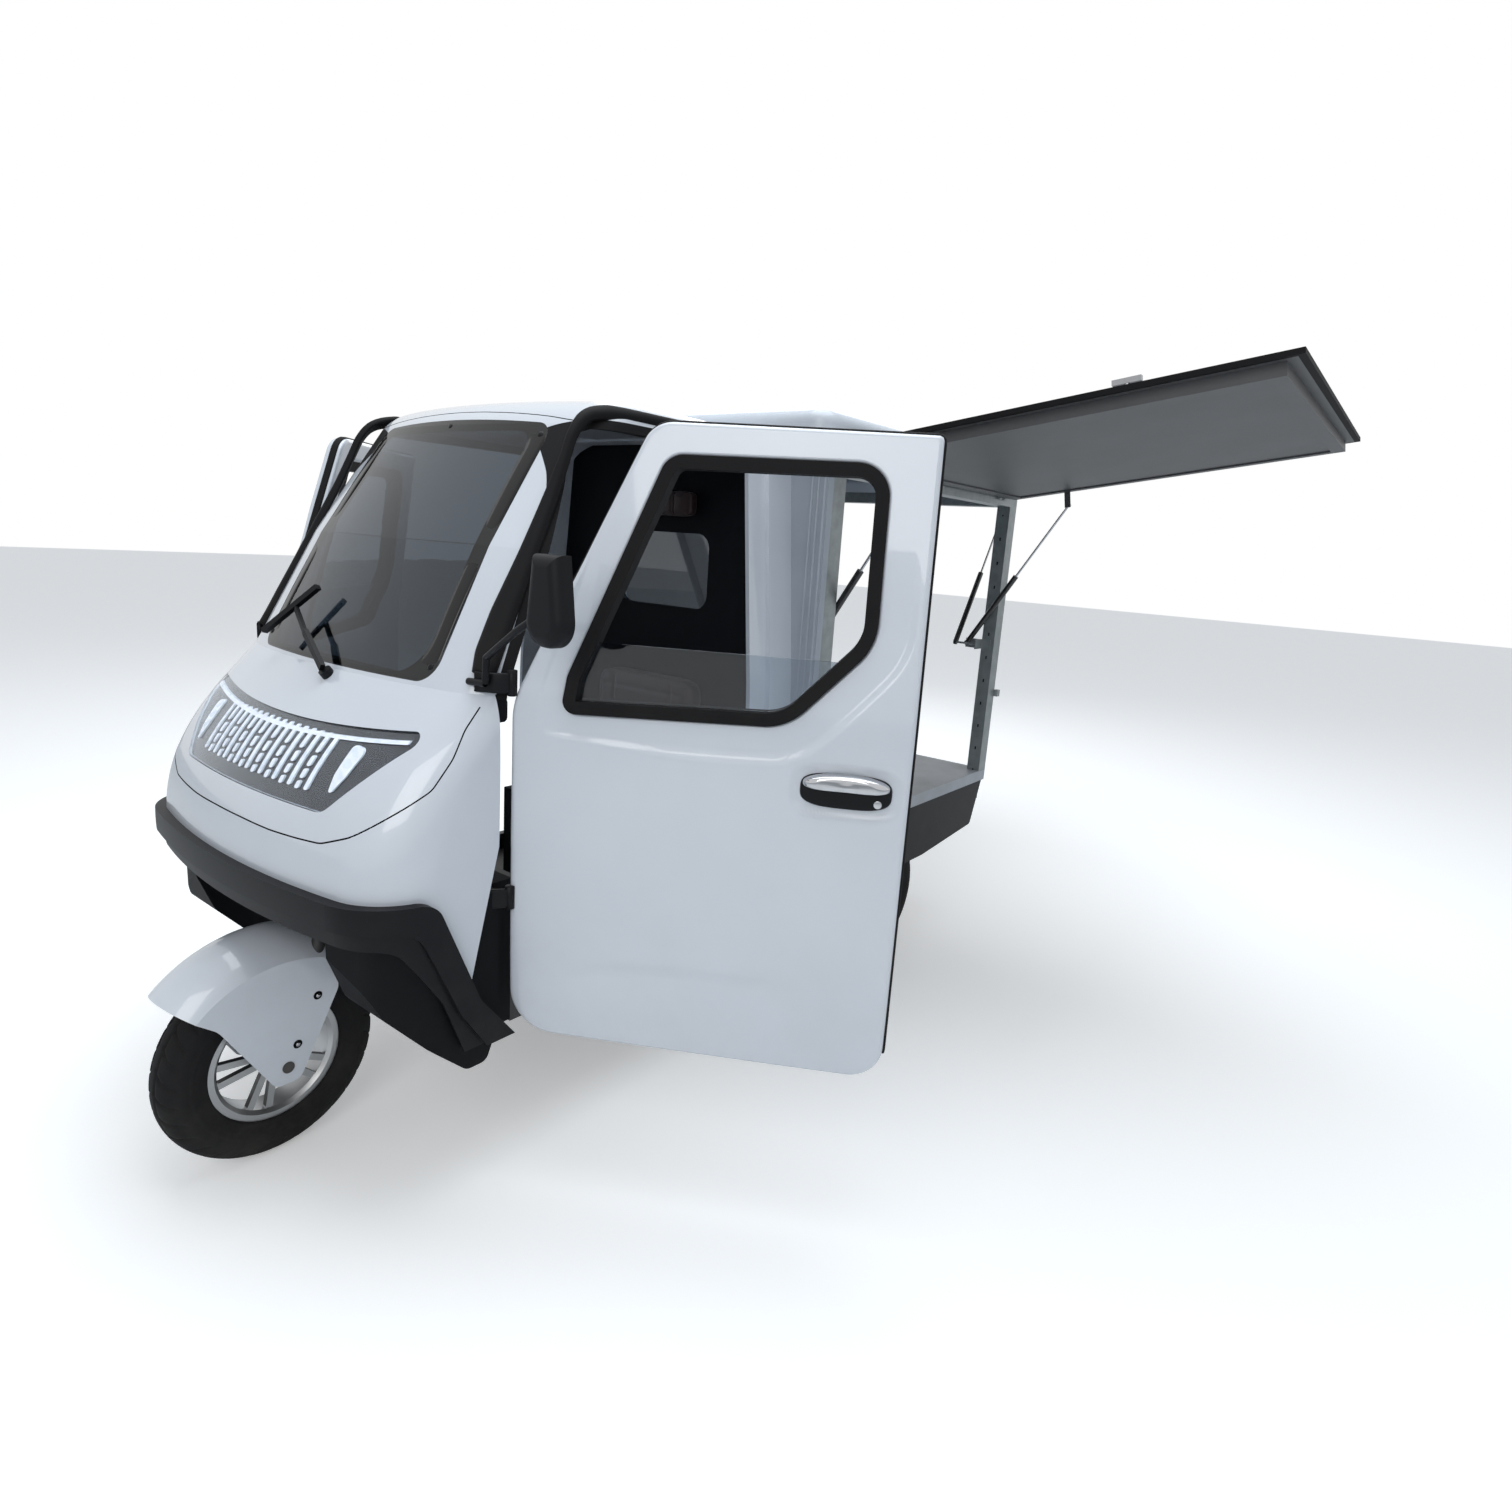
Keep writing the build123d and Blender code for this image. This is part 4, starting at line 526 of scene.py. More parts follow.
def wheel_finish(name, centre):
    """Black cast alloy, bright where the normal points along Y or the radius is that of the lip."""
    material, tree, shader = new_material(name)
    place = add_node(tree, "ShaderNodeTexCoord")
    facing = add_node(tree, "ShaderNodeSeparateXYZ")
    outward = arithmetic(tree, "ABSOLUTE")
    flat = add_node(tree, "ShaderNodeMapRange", (), {"From Min": 0.93, "From Max": 0.98})
    flatten = add_node(tree, "ShaderNodeVectorMath", {"operation": "MULTIPLY"}, {1: (1, 0, 1)})
    away = add_node(tree, "ShaderNodeVectorMath", {"operation": "DISTANCE"},
                    {1: (centre[0], 0, centre[2])})
    lip = add_node(tree, "ShaderNodeMapRange", (), {"From Min": 0.117, "From Max": 0.119})
    bright = arithmetic(tree, "MAXIMUM")
    rings = arithmetic(tree, "SINE")
    pitch = arithmetic(tree, "MULTIPLY", {1: 9000.0})
    colour = add_node(tree, "ShaderNodeMix", {"data_type": "RGBA"})
    colour.inputs[6].default_value = (0.012, 0.012, 0.014, 1)
    colour.inputs[7].default_value = (0.50, 0.51, 0.52, 1)
    settle = use_group(tree, dust_group, {"Roughness": 0.30, "Dust": 0.25, "Low": -0.6, "High": -0.2})
    relief = add_node(tree, "ShaderNodeBump", (), {"Strength": 0.05, "Distance": 0.0002})
    connect(tree, (place, "Normal", facing, 0), (facing, "Y", outward, 0), (outward, 0, flat, "Value"),
            (place, "Object", flatten, 0), (flatten, 0, away, 0), (away, "Value", lip, "Value"),
            (flat, 0, bright, 0), (lip, 0, bright, 1), (away, "Value", pitch, 0), (pitch, 0, rings, 0),
            (bright, 0, colour, 0), (colour, 2, settle, "Color"),
            (settle, "Color", shader, "Base Color"), (settle, "Roughness", shader, "Roughness"),
            (bright, 0, shader, "Metallic"), (rings, 0, relief, "Height"),
            (relief, 0, shader, "Normal"))
    return material


paint["front_rim"] = wheel_finish("front_rim", FRONT_AXLE)
paint["rear_rim"] = wheel_finish("rear_rim", REAR_AXLE)
print("wheel finishes ready")

# %% [markdown]
# The galvanised posts carry rows of short dark slots. They are too small to be worth cutting, so the finish
# paints them as shade: height is folded into a repeating cell, and a rounded box in that cell is painted
# the dark of the shade inside a slot.

# %% Slotted posts


def slotted_posts():
    """Galvanised steel with a slot of 16 x 5 mm in every 50 mm of height, on the post faces, painted as dark
    shade.
    """
    material = finish("frame_slotted", (0.27, 0.30, 0.30), 0.42, metallic=0.7, second=(0.36, 0.39, 0.40),
                      patch=28.0, dust=0.10, low=0.0, high=1.0, grain=160, bump=0.10)
    tree = material.node_tree
    shader = tree.nodes["Principled BSDF"]
    place = add_node(tree, "ShaderNodeTexCoord")
    split = add_node(tree, "ShaderNodeSeparateXYZ")
    fold = arithmetic(tree, "PINGPONG", {1: 0.045})
    tall = arithmetic(tree, "LESS_THAN", {1: 0.006})
    aside = arithmetic(tree, "ABSOLUTE")
    line = arithmetic(tree, "COMPARE", {1: 0.544, 2: 0.0028})
    below = arithmetic(tree, "LESS_THAN", {1: 0.99})
    both = arithmetic(tree, "MULTIPLY")
    slot_mask = arithmetic(tree, "MULTIPLY")
    # Painted shade: the dark colour of each slot stands for the shade inside the hole.
    slot_shade = add_node(tree, "ShaderNodeMix", {"data_type": "RGBA"})
    slot_shade.inputs[7].default_value = (0.01, 0.012, 0.014, 1)
    before = shader.inputs["Base Color"].links[0].from_socket
    connect(tree, (place, "Object", split, 0), (split, "Z", fold, 0), (fold, 0, tall, 0),
            (split, "Y", aside, 0), (aside, 0, line, 0), (split, "Z", below, 0), (tall, 0, both, 0),
            (line, 0, both, 1), (both, 0, slot_mask, 0), (below, 0, slot_mask, 1),
            (slot_mask, 0, slot_shade, 0), (slot_shade, 2, shader, "Base Color"))
    tree.links.new(before, slot_shade.inputs[6])
    return material


paint["frame_slotted"] = slotted_posts()
print("slots drawn on the posts")

# %% [markdown]
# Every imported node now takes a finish. Most take the one named by their material slot; a few differ
# from their slot, such as the windscreen, the cast rims and the slotted posts.

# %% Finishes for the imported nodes
OWN_FINISH = {"windscreen": "screen_glass", "rear_window": "wall_glass", "lamp_cover": "lamp_clear",
              "front_rim": "front_rim", "rear_left_rim": "rear_rim", "rear_right_rim": "rear_rim",
              "cargo_frame": "frame_slotted", "cargo_front_wall": "wall_grey"}
slot_of = {row["node"]: row["material_slot"] for row in record["subparts"]}
for node_name, node in nodes.items():
    chosen = OWN_FINISH.get(node_name, slot_of[node_name])
    node.data.materials.clear()
    node.data.materials.append(paint[chosen])
print("nodes with a finish", len(slot_of))

# %% [markdown]
# A pressed door skin is one sheet that wraps round its edges. Here it is one closed surface: round
# the door in one direction, and in the other from the window's edge over the outer skin, round the
# rim, back over the inner skin and through the window's reveal. The soft forms in the pressing, such
# as the shoulder under the window and the fold near the sill, are added to its height as a function
# of place, so they need no sculpting.

# %% Door outlines
DOOR_THICK = 0.042
DOOR_PROUD = 0.004
DOOR_EDGE = rounded([(0, -0.228, 0.095), (0.790, -0.228, 0.070), (0.790, 1.034, 0.010),
                     (0.250, 1.034, 0.060), (0, 0.483, 0.180)], 14)
WINDOW_EDGE = rounded([(0.104, 0.471, 0.025), (0.548, 0.484, 0.110), (0.702, 0.648, 0.110),
                       (0.700, 0.978, 0.060), (0.284, 0.974, 0.045), (0.114, 0.545, 0.060)], 14)
WINDOW_CENTRE = np.array([0.430, 0.720])
AROUND = 520
door_rim = even(DOOR_EDGE, AROUND)


def matched(outline, rim, centre):
    """Points of an outline seen from the centre at the same angles as the rim's points."""
    fine = even(outline, 4000)
    angle = np.unwrap(np.arctan2(*(fine - centre).T[::-1]))
    wanted = np.unwrap(np.arctan2(*(rim - centre).T[::-1]))
    full = np.concatenate([angle - 2 * math.pi, angle, angle + 2 * math.pi])
    turns = np.round((wanted.mean() - angle.mean()) / (2 * math.pi))
    wanted = wanted - turns * 2 * math.pi
    return np.stack([np.interp(wanted, full, np.tile(fine[:, k], 3)) for k in range(2)], -1)


def outward(outline):
    """Unit normals of a closed outline that runs anticlockwise: the tangent (a, b) gives (b, -a)."""
    t = unit(np.roll(outline, -1, 0) - np.roll(outline, 1, 0))
    return np.stack([t[:, 1], -t[:, 0]], -1)


window_rim = matched(WINDOW_EDGE, door_rim, WINDOW_CENTRE)
print("door rim points", len(door_rim), "window from", window_rim.min(0).round(3),
      "to", window_rim.max(0).round(3))

# %% Height of the door skin


def lean_in(z):
    """Inward lean of the upper door: LEAN times the height above the belt, eased in over 30 mm."""
    above, ease = z - BELT_Z, 0.03
    return -LEAN * 0.5 * (above + np.sqrt(above ** 2 + ease ** 2))


def door_relief(s, z, from_window):
    """Height of the pressing over the flat door, from the place on it and the way from the window."""
    tuck = -0.009 * np.clip((0.10 - z) / 0.33, 0, 1) ** 2
    crown = -0.004 * np.abs((s - 0.42) / 0.40) ** 3
    fold_z = np.interp(s, [0.06, 0.098, 0.208, 0.328, 0.608, 0.70],
                       [-0.110, -0.084, -0.052, -0.042, -0.037, -0.045])
    below = fold_z - z
    fade = smooth_step(s, 0.09, 0.24) * (1 - smooth_step(s, 0.48, 0.68))
    fold = -0.0060 * smooth_step(below, -0.004, 0.012) * np.exp(-np.clip(below, 0, 1) / 0.045) * fade
    swell = 0.0022 * np.exp(-((z - fold_z - 0.016) / 0.014) ** 2) * fade
    band = 1 - smooth_step(from_window, 0.050, 0.070)
    low_side = 1 - smooth_step(z, 0.66, 0.86)
    shoulder = -0.0055 * band * low_side * smooth_step(s, 0.03, 0.14)
    dish = -0.005 * (1 - smooth_step(((s - 0.670) / 0.104) ** 4 + ((z - 0.370) / 0.048) ** 4, 0.55, 1.3))
    return tuck + crown + fold + swell + shoulder + dish


def door_surface(rim, window):
    """(around, across) grid of (s, out, z): window rounding, outer skin, rim rounding, inner skin."""
    rim_normal, window_normal = outward(rim), outward(window)
    rim_round, window_round, inner_round = 0.009, 0.006, 0.003
    rows = []

    def add_row(plane, height, relief):
        """One line round the door, at a height over the hinge plane."""
        s, z = plane[:, 0], plane[:, 1]
        rows.append(np.stack([s, DOOR_PROUD + lean_in(z) + relief + height, z], -1))

    turn = np.linspace(math.pi / 2, 0, 5)
    start = window + window_normal * window_round
    stop = rim - rim_normal * rim_round
    span = np.linalg.norm(stop - start, axis=1)
    window_relief = door_relief(*start.T, np.zeros(AROUND))
    for a in turn[:-1]:
        add_row(window + window_normal * window_round * (1 - math.sin(a)), -window_round * (1 - math.cos(a)),
                window_relief)
    for t in np.concatenate([np.linspace(0, 0.24, 18), np.linspace(0.24, 1, 42)[1:]]):
        plane = start + (stop - start) * t
        add_row(plane, 0.0, door_relief(*plane.T, span * t))
    rim_relief = door_relief(*stop.T, span)
    for a in turn[::-1][1:]:
        add_row(rim - rim_normal * rim_round * (1 - math.sin(a)), -rim_round * (1 - math.cos(a)), rim_relief)
    add_row(rim, -DOOR_THICK + inner_round, 0.0)
    add_row(rim - rim_normal * inner_round, -DOOR_THICK, 0.0)
    for t in np.linspace(1, 0, 10)[1:-1]:
        add_row(start + (stop - start) * t, -DOOR_THICK, 0.0)
    add_row(window + window_normal * inner_round, -DOOR_THICK, 0.0)
    add_row(window, -DOOR_THICK + inner_round, 0.0)
    return np.stack(rows, 1)


def place_door(points, opening, side):
    """Door points (s, out, z) swung open: x = 1.620 - s cos + out sin, y = 0.5 + s sin + out cos."""
    s, out, z = points[..., 0], points[..., 1], points[..., 2]
    x = DOOR_HINGE[0] - s * math.cos(opening) + out * math.sin(opening)
    y = side * (DOOR_HINGE[1] + s * math.sin(opening) + out * math.cos(opening))
    return np.stack([x, y, z], -1)


door_skin = door_surface(door_rim, window_rim)
doors = (("left", LEFT_DOOR_OPEN, 1), ("right", RIGHT_DOOR_OPEN, -1))
for label, opening, side in doors:
    placed = place_door(door_skin, opening, side)
    skin = make_piece(f"door_{label}_skin", placed, grid_faces(*door_skin.shape[:2], True, True),
                      paint["door_white"], f"door_{label}",
                      replaces=[f"door_{label}_shell"])
    print(skin.name, "faces", len(skin.data.polygons))

# %% [markdown]
# A rubber lip runs along the door's slanted front edge, its top and its rear edge, and closes the gap
# to the body. It is a small rounded profile carried along that part of the rim, on the inner side.

# %% Rubber lips of the doors
lip_line = even(DOOR_EDGE, 1200)
on_lip = (lip_line[:, 1] > 0.62) | ((lip_line[:, 0] > 0.779) & (lip_line[:, 1] > -0.17))
first = int(np.flatnonzero(on_lip & ~np.roll(on_lip, 1))[0])
lip_line = np.roll(lip_line, -first, 0)[: int(on_lip.sum())]
lip_line = even(lip_line, 260, closed=False)
lip_tangent = unit(np.gradient(lip_line, axis=0))
lip_normal = np.stack([lip_tangent[:, 1], -lip_tangent[:, 0]], -1)
lip_profile = np.array([(-0.001, -0.010), (0.0035, -0.0095), (0.005, -0.005), (0.005, 0.004), (0.003, 0.0085),
                        (-0.001, 0.009)])
lip_flat = lip_line[:, None, :] + lip_normal[:, None, :] * lip_profile[None, :, 0, None]
lip_out = DOOR_PROUD - 0.024 + lean_in(lip_flat[..., 1]) + lip_profile[None, :, 1]
lip_grid = np.stack([lip_flat[..., 0], lip_out, lip_flat[..., 1]], -1)
lip_faces, lip_caps = grid_faces(*lip_grid.shape[:2], False, True), end_caps(*lip_grid.shape[:2])
for label, opening, side in doors:
    make_piece(f"door_{label}_lip", place_door(lip_grid, opening, side), lip_faces,
               paint["seal_rubber"], f"door_{label}", caps=lip_caps)
print("lip points", len(lip_grid))

# %% [markdown]
# Rubber mouldings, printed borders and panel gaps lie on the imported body, and on a real vehicle they
# are glued or moulded to it. To lay a strip on a surface, rays are sent at the body's triangles and
# the strip follows the points that they meet. All rays are tried against all triangles at once.

# %% Laying strips on the body


def triangles_of(*names):
    """Corners of the named nodes' triangles, as an (m, 3, 3) array."""
    found = []
    for name in names:
        mesh = nodes[name].data
        mesh.calc_loop_triangles()
        points = np.empty(len(mesh.vertices) * 3)
        mesh.vertices.foreach_get("co", points)
        corners = np.empty(len(mesh.loop_triangles) * 3, int)
        mesh.loop_triangles.foreach_get("vertices", corners)
        found.append(points.reshape(-1, 3)[corners.reshape(-1, 3)])
    return np.concatenate(found)


REACH = 1.2
MISS = 9.0


def cast(starts, way, triangles):
    """First meeting of each ray with the triangles, and the unit normal there.

    A ray start + t * way meets the plane of a triangle with corner a and edges e, f where
    Cramer's rule gives u, v and t; it is inside where u and v are not negative and u + v is at
    most 1. A ray that meets nothing ends MISS metres away.
    """
    shape = starts.shape
    starts = starts.reshape(-1, 3)
    ways = np.broadcast_to(np.asarray(way, float), shape).reshape(-1, 3)
    ends = starts + ways * REACH
    low = np.minimum(starts.min(0), ends.min(0)) - 0.02
    high = np.maximum(starts.max(0), ends.max(0)) + 0.02
    near = np.all(triangles.max(1) > low, 1) & np.all(triangles.min(1) < high, 1)
    tri = triangles[near]
    a, e, f = tri[:, 0], tri[:, 1] - tri[:, 0], tri[:, 2] - tri[:, 0]
    met, turned = [], []
    for part in np.array_split(np.arange(len(starts)), len(starts) // 150 + 1):
        h = np.cross(ways[part, None], f[None])
        det = np.einsum("mj,nmj->nm", e, h)
        whole = np.abs(det) > 1e-14
        inverse = 1 / np.where(whole, det, 1)
        away = starts[part, None] - a[None]
        u = np.einsum("nmj,nmj->nm", away, h) * inverse
        q = np.cross(away, e[None])
        v = np.einsum("nj,nmj->nm", ways[part], q) * inverse
        t = np.einsum("mj,nmj->nm", f, q) * inverse
        inside = whole & (u >= -1e-5) & (v >= -1e-5) & (u + v <= 1 + 1e-5) & (t > 0)
        t = np.where(inside, t, MISS)
        nearest = t.argmin(1)
        met.append(starts[part] + ways[part] * t[np.arange(len(part)), nearest][:, None])
        turned.append(np.cross(e[nearest], f[nearest]))
    normals = unit(np.concatenate(turned))
    normals *= -np.sign(np.einsum("ij,ij->i", normals, ways))[:, None]
    return np.concatenate(met).reshape(shape), normals.reshape(shape)


def settle_strip(points, normals, closed):
    """Evens a strip out: each point and normal becomes the mean of itself and its two neighbours."""
    if closed:
        return [(np.roll(g, 1, 0) + g + np.roll(g, -1, 0)) / 3 for g in (points, normals)]
    out = []
    for g in (points, normals):
        padded_rows = np.concatenate([2 * g[:1] - g[1:2], g, 2 * g[-1:] - g[-2:-1]])
        out.append((padded_rows[:-2] + padded_rows[1:-1] + padded_rows[2:]) / 3)
    return out


def lay_strip(name, points, normals, height, material, bury=0.0015, closed=False):
    """Closed strip: its columns pass over the surface at the given heights and come back under it."""
    points, normals = settle_strip(points, normals, closed)
    height = np.broadcast_to(height, points.shape[:2])[..., None]
    grid = np.concatenate([points + normals * height, (points - normals * bury)[:, ::-1]], 1)
    shape = grid.shape[:2]
    return make_piece(name, grid, grid_faces(*shape, closed, True), material, "chassis",
                      caps=[] if closed else end_caps(*shape))


def flip(points):
    """The same points on the other side of the vehicle."""
    return points * (1, -1, 1)


cab_skin = triangles_of("cab_shell", "cab_nose", "windscreen")
print("triangles of the cab's skin", len(cab_skin))

# %% [markdown]
# A fat rubber moulding frames each doorway: it climbs the windscreen pillar, bends over the corner
# and runs back under the roof's edge. It is widest at its foot. Its outline is the door's own rim,
# pushed outwards, so the gap to the door stays even, and its section is half of a flat ellipse.

# %% Doorway mouldings
frame_line = even(DOOR_EDGE, 1600)
frame_line = frame_line[(frame_line[:, 1] > 0.512) & (frame_line[:, 0] < 0.775)]
order = np.argsort(np.where(frame_line[:, 0] > 0.249, frame_line[:, 0] + 1, frame_line[:, 1]))
frame_line = even(frame_line[order], 150, closed=False)
frame_way = unit(np.gradient(frame_line, axis=0))
frame_out = np.stack([-frame_way[:, 1], frame_way[:, 0]], -1)
frame_key = np.where(frame_line[:, 0] > 0.249, 0.784 + frame_line[:, 0], frame_line[:, 1])
frame_far = np.interp(frame_key, [0.51, 0.55, 0.63, 0.71, 0.76, 0.83, 0.90, 0.97, 1.02, 1.05, 1.10],
                      [0.065, 0.065, 0.060, 0.052, 0.046, 0.040, 0.036, 0.034, 0.037, 0.045, 0.057])
frame_near = np.interp(frame_key, [0.51, 0.60, 0.68, 0.776, 0.848, 0.90, 1.02, 1.10],
                       [0.042, 0.038, 0.033, 0.029, 0.024, 0.021, 0.022, 0.032])
y_far = np.interp(frame_key, [0.51, 0.55, 0.63, 0.71, 0.83, 0.97, 1.03, 1.075, 1.10, 1.144, 1.20, 1.265],
                  [0.438, 0.423, 0.416, 0.416, 0.412, 0.410, 0.405, 0.397, 0.402, 0.416, 0.422, 0.426])
y_near = np.interp(frame_key, [0.51, 0.60, 0.68, 0.776, 0.848, 0.919, 1.0, 1.06, 1.14],
                   [0.478, 0.469, 0.460, 0.450, 0.442, 0.434, 0.426, 0.424, 0.436])
across = np.linspace(0, 1, 9)[None, :]
frame_away = frame_near[:, None] + across * (frame_far - frame_near)[:, None]
frame_points = np.stack([DOOR_HINGE[0] - frame_line[:, 0, None] - frame_out[:, 0, None] * frame_away,
                         y_near[:, None] + across * (y_far - y_near)[:, None],
                         frame_line[:, 1, None] + frame_out[:, 1, None] * frame_away], -1)
frame_normals = unit(np.cross(np.gradient(frame_points, axis=0), np.gradient(frame_points, axis=1)))
frame_normals *= np.sign(frame_normals[..., 1:2])
across = across[0]
frame_height = 0.013 * np.sqrt(np.clip(1 - (2 * across - 1) ** 2, 0.004, 1))
for label, turn_over in (("left", np.array), ("right", flip)):
    lay_strip(f"doorway_moulding_{label}", turn_over(frame_points), turn_over(frame_normals), frame_height,
              paint["seal_rubber"], bury=0.006)
print("moulding from", frame_points.min((0, 1)).round(3), "to", frame_points.max((0, 1)).round(3))

# %% [markdown]
# The windscreen's edge is printed black to hide the glue, and five small caps cover its clips. The
# print is a ring between two rounded outlines, laid on the glass and less than a millimetre thick.

# %% Windscreen border and its clips
SCREEN_MIDDLE_Z = 0.78
screen_rim = even(rounded([(0.351, 0.507, 0.030), (0.327, 1.056, 0.030), (-0.327, 1.056, 0.030),
                           (-0.351, 0.507, 0.030)], 10), 240)
screen_inner = matched(rounded([(0.316, 0.514, 0.080), (0.284, 1.030, 0.045), (-0.284, 1.030, 0.045),
                                (-0.316, 0.514, 0.080)], 14), screen_rim, np.array([0, SCREEN_MIDDLE_Z]))
ring_share = np.linspace(0, 1, 6)[None, :, None]
ring = screen_rim[:, None, :] + (screen_inner - screen_rim)[:, None, :] * ring_share


def screen_terms(y, z):
    """Terms of the pane's form: 1, w, w^2, w^3, y^2, y^2 w, y^2 w^2, y^4 and y^4 w, w from its middle."""
    w = z - SCREEN_MIDDLE_Z
    return np.stack([np.ones_like(y), w, w * w, y ** 2, y ** 2 * w, y ** 2 * w * w, y ** 4,
                     y ** 4 * w, w ** 3], -1)


pane_y, pane_z = np.meshgrid(np.linspace(-0.31, 0.31, 21), np.linspace(0.53, 1.03, 21))
pane_starts = np.stack([np.full_like(pane_y, 2.2), pane_y, pane_z], -1)
pane_x = cast(pane_starts, (-1, 0, 0), triangles_of("windscreen"))[0][..., 0]
pane_terms = screen_terms(pane_y, pane_z)
pane_fit, *_ = np.linalg.lstsq(pane_terms.reshape(pane_y.size, -1), pane_x.ravel(), rcond=None)
misfit = np.abs(pane_terms @ pane_fit - pane_x).max()
print("largest misfit of the pane, mm", round(float(misfit) * 1000, 2))


def on_pane(y, z):
    """Points and unit normals of the fitted pane; the normal is (1, -dx/dy, -dx/dz)."""
    x, step = screen_terms(y, z) @ pane_fit, 1e-4
    slope_y = (screen_terms(y + step, z) @ pane_fit - x) / step
    slope_z = (screen_terms(y, z + step) @ pane_fit - x) / step
    normals = np.stack([np.ones_like(x), -slope_y, -slope_z], -1)
    return np.stack([x, y, z], -1), unit(normals)


ring_points, ring_normals = on_pane(ring[..., 0], ring[..., 1])
border_height = np.array([0.0003, 0.0009, 0.0010, 0.0010, 0.0009, 0.0003])
lay_strip("windscreen_border", ring_points, ring_normals, border_height, paint["border_black"],
          bury=0.0006, closed=True)


def stud(place, normal, radius, height):
    """Small domed head at a place on a surface, its axis along the normal there."""
    normal = unit(np.asarray(normal, float))
    side = unit(np.cross(normal, (0.0, 0.0, 1.0) if abs(normal[2]) < 0.9 else (1.0, 0.0, 0.0)))
    rise = np.cross(normal, side)
    a = np.linspace(0, math.pi / 2, 6)[:, None]
    turn = np.linspace(0, 2 * math.pi, 18, endpoint=False)[None, :, None]
    wide = np.concatenate([np.ones((1, 1)), np.cos(a) + 0.04])[..., None] * radius
    tall = np.concatenate([-np.ones((1, 1)) * 0.3, np.sin(a)])[..., None] * height
    points = place + wide * (np.cos(turn) * side + np.sin(turn) * rise) + tall * normal
    shape = points.shape[:2]
    return points, grid_faces(*shape, False, True), end_caps(*shape)


def studs_piece(name, places, normals, radius, height, coat, body):
    """One piece made of several studs."""
    grids = [stud(place, normal, radius, height) for place, normal in zip(places, normals)]
    return join_piece(name, grids, paint[coat], body)


clip_flat = np.array([(0.306, 1.022), (0.0, 1.043), (-0.306, 1.022), (0.333, 0.535), (-0.333, 0.535)])
studs_piece("windscreen_clips", *on_pane(*clip_flat.T), 0.0075, 0.004, "trim_black", "chassis")
print("border at x", ring_points[..., 0].min().round(3), "to", ring_points[..., 0].max().round(3))

# %% [markdown]
# The nose is two mouldings, and their joint shows as a fine dark line that sweeps under the lamp and
# up to the doorway. The roof cap has such a line too. A real gap is dark because no light gets in, so
# a hair-thin dark strip on the surface stands for it.

# %% Panel joints
NOSE_JOINT = np.array([(1.948, 0.000, 0.207), (1.947, 0.058, 0.207), (1.941, 0.170, 0.206),
                       (1.931, 0.254, 0.209), (1.920, 0.324, 0.213), (1.900, 0.392, 0.237),
                       (1.858, 0.444, 0.276), (1.822, 0.468, 0.302), (1.785, 0.482, 0.327),
                       (1.741, 0.484, 0.381), (1.708, 0.475, 0.433), (1.672, 0.472, 0.474)])
ROOF_JOINT = np.array([(1.382, 0.000, 1.080), (1.380, 0.130, 1.076), (1.376, 0.224, 1.071),
                       (1.371, 0.296, 1.065), (1.367, 0.347, 1.058), (1.356, 0.385, 1.045)])
JOINT_WIDE = 0.0026
joint_height = np.array([0.0001, 0.0003, 0.0001])


def joint_line(name, half, middle):
    """A dark line through points and their mirror images, cast at the skin towards a middle point."""
    line = even(np.concatenate([flip(half)[:0:-1], half]), 220, closed=False)
    inward = unit(np.array(middle) - line)
    side = unit(np.cross(np.gradient(line, axis=0), inward))
    shift = np.linspace(-JOINT_WIDE / 2, JOINT_WIDE / 2, 3)[None, :, None]
    flat = line[:, None, :] + side[:, None, :] * shift
    way = np.broadcast_to(inward[:, None, :], flat.shape)
    points, normals = cast(flat - way * 0.15, way, cab_skin)
    found = np.all(np.linalg.norm(points - flat, axis=-1) < 0.05, 1)
    return lay_strip(name, points[found], normals[found], joint_height, paint["gap_dark"],
                     bury=0.0005)


joint_line("nose_joint", NOSE_JOINT, (1.55, 0.0, 0.30))
joint_line("roof_joint", ROOF_JOINT, (1.00, 0.0, 0.55))
print("joints laid")

# %% [markdown]
# The fender is held by two recessed screws on each side: a dark disc of painted shade for the recess, and a
# small bright head in it.

# %% Fender screws
FENDER_SCREWS = ((1.820, -0.225), (1.868, -0.324))
screw_sides = [(0, side, 0) for _ in FENDER_SCREWS for side in (1, -1)]
# The first row is painted shade: a dark disc where the recess round each screw is shaded.
for label, out, radius, coat in (("fender_screw_recess_shade", 0.0925, 0.0095, "gap_dark"),
                                 ("fender_screw_heads", 0.0945, 0.0048, "latch_steel")):
    spots = [(x, side * out, z) for x, z in FENDER_SCREWS for side in (1, -1)]
    studs_piece(label, spots, screw_sides, radius, 0.002, coat, "steering")
print("screws on the fender", len(screw_sides))

# %% [markdown]
# Each door hangs on two black hinges: an arm that reaches out from the pillar and a knuckle round the
# hinge pin. The box's front wall is stiffened by narrow upright ribs beside the cab. Both are plain
# profiles carried along straight lines.

# %% Door hinges and wall ribs
hinge_section = rounded([(-0.006, -0.020, 0.003), (0.006, -0.020, 0.003), (0.006, 0.020, 0.003),
                         (-0.006, 0.020, 0.003)], 4)
hinge_grids = []
for side in (1, -1):
    for low, high, root_y in ((0.496, 0.548, 0.452), (0.050, 0.100, 0.478)):
        middle = (low + high) / 2
        arm = np.array([(x, side * y, middle) for x, y in ((1.668, root_y), (1.650, 0.488),
                                                           (1.634, 0.500), (1.618, 0.503))])
        pin = np.array([(1.620, side * 0.503, z) for z in (low, low + 0.001, middle, high - 0.001, high)])
        hinge_grids.append(sweep(arm, hinge_section))
        hinge_grids.append(sweep(pin, circle(0.010, 20), up=(1, 0, 0), scale=(0.8, 1, 1, 1, 0.8)))
join_piece("door_hinges", hinge_grids, paint["trim_black"], "chassis")
rib_heights = np.array([0.030, 0.034, 0.530, 1.025, 1.029])
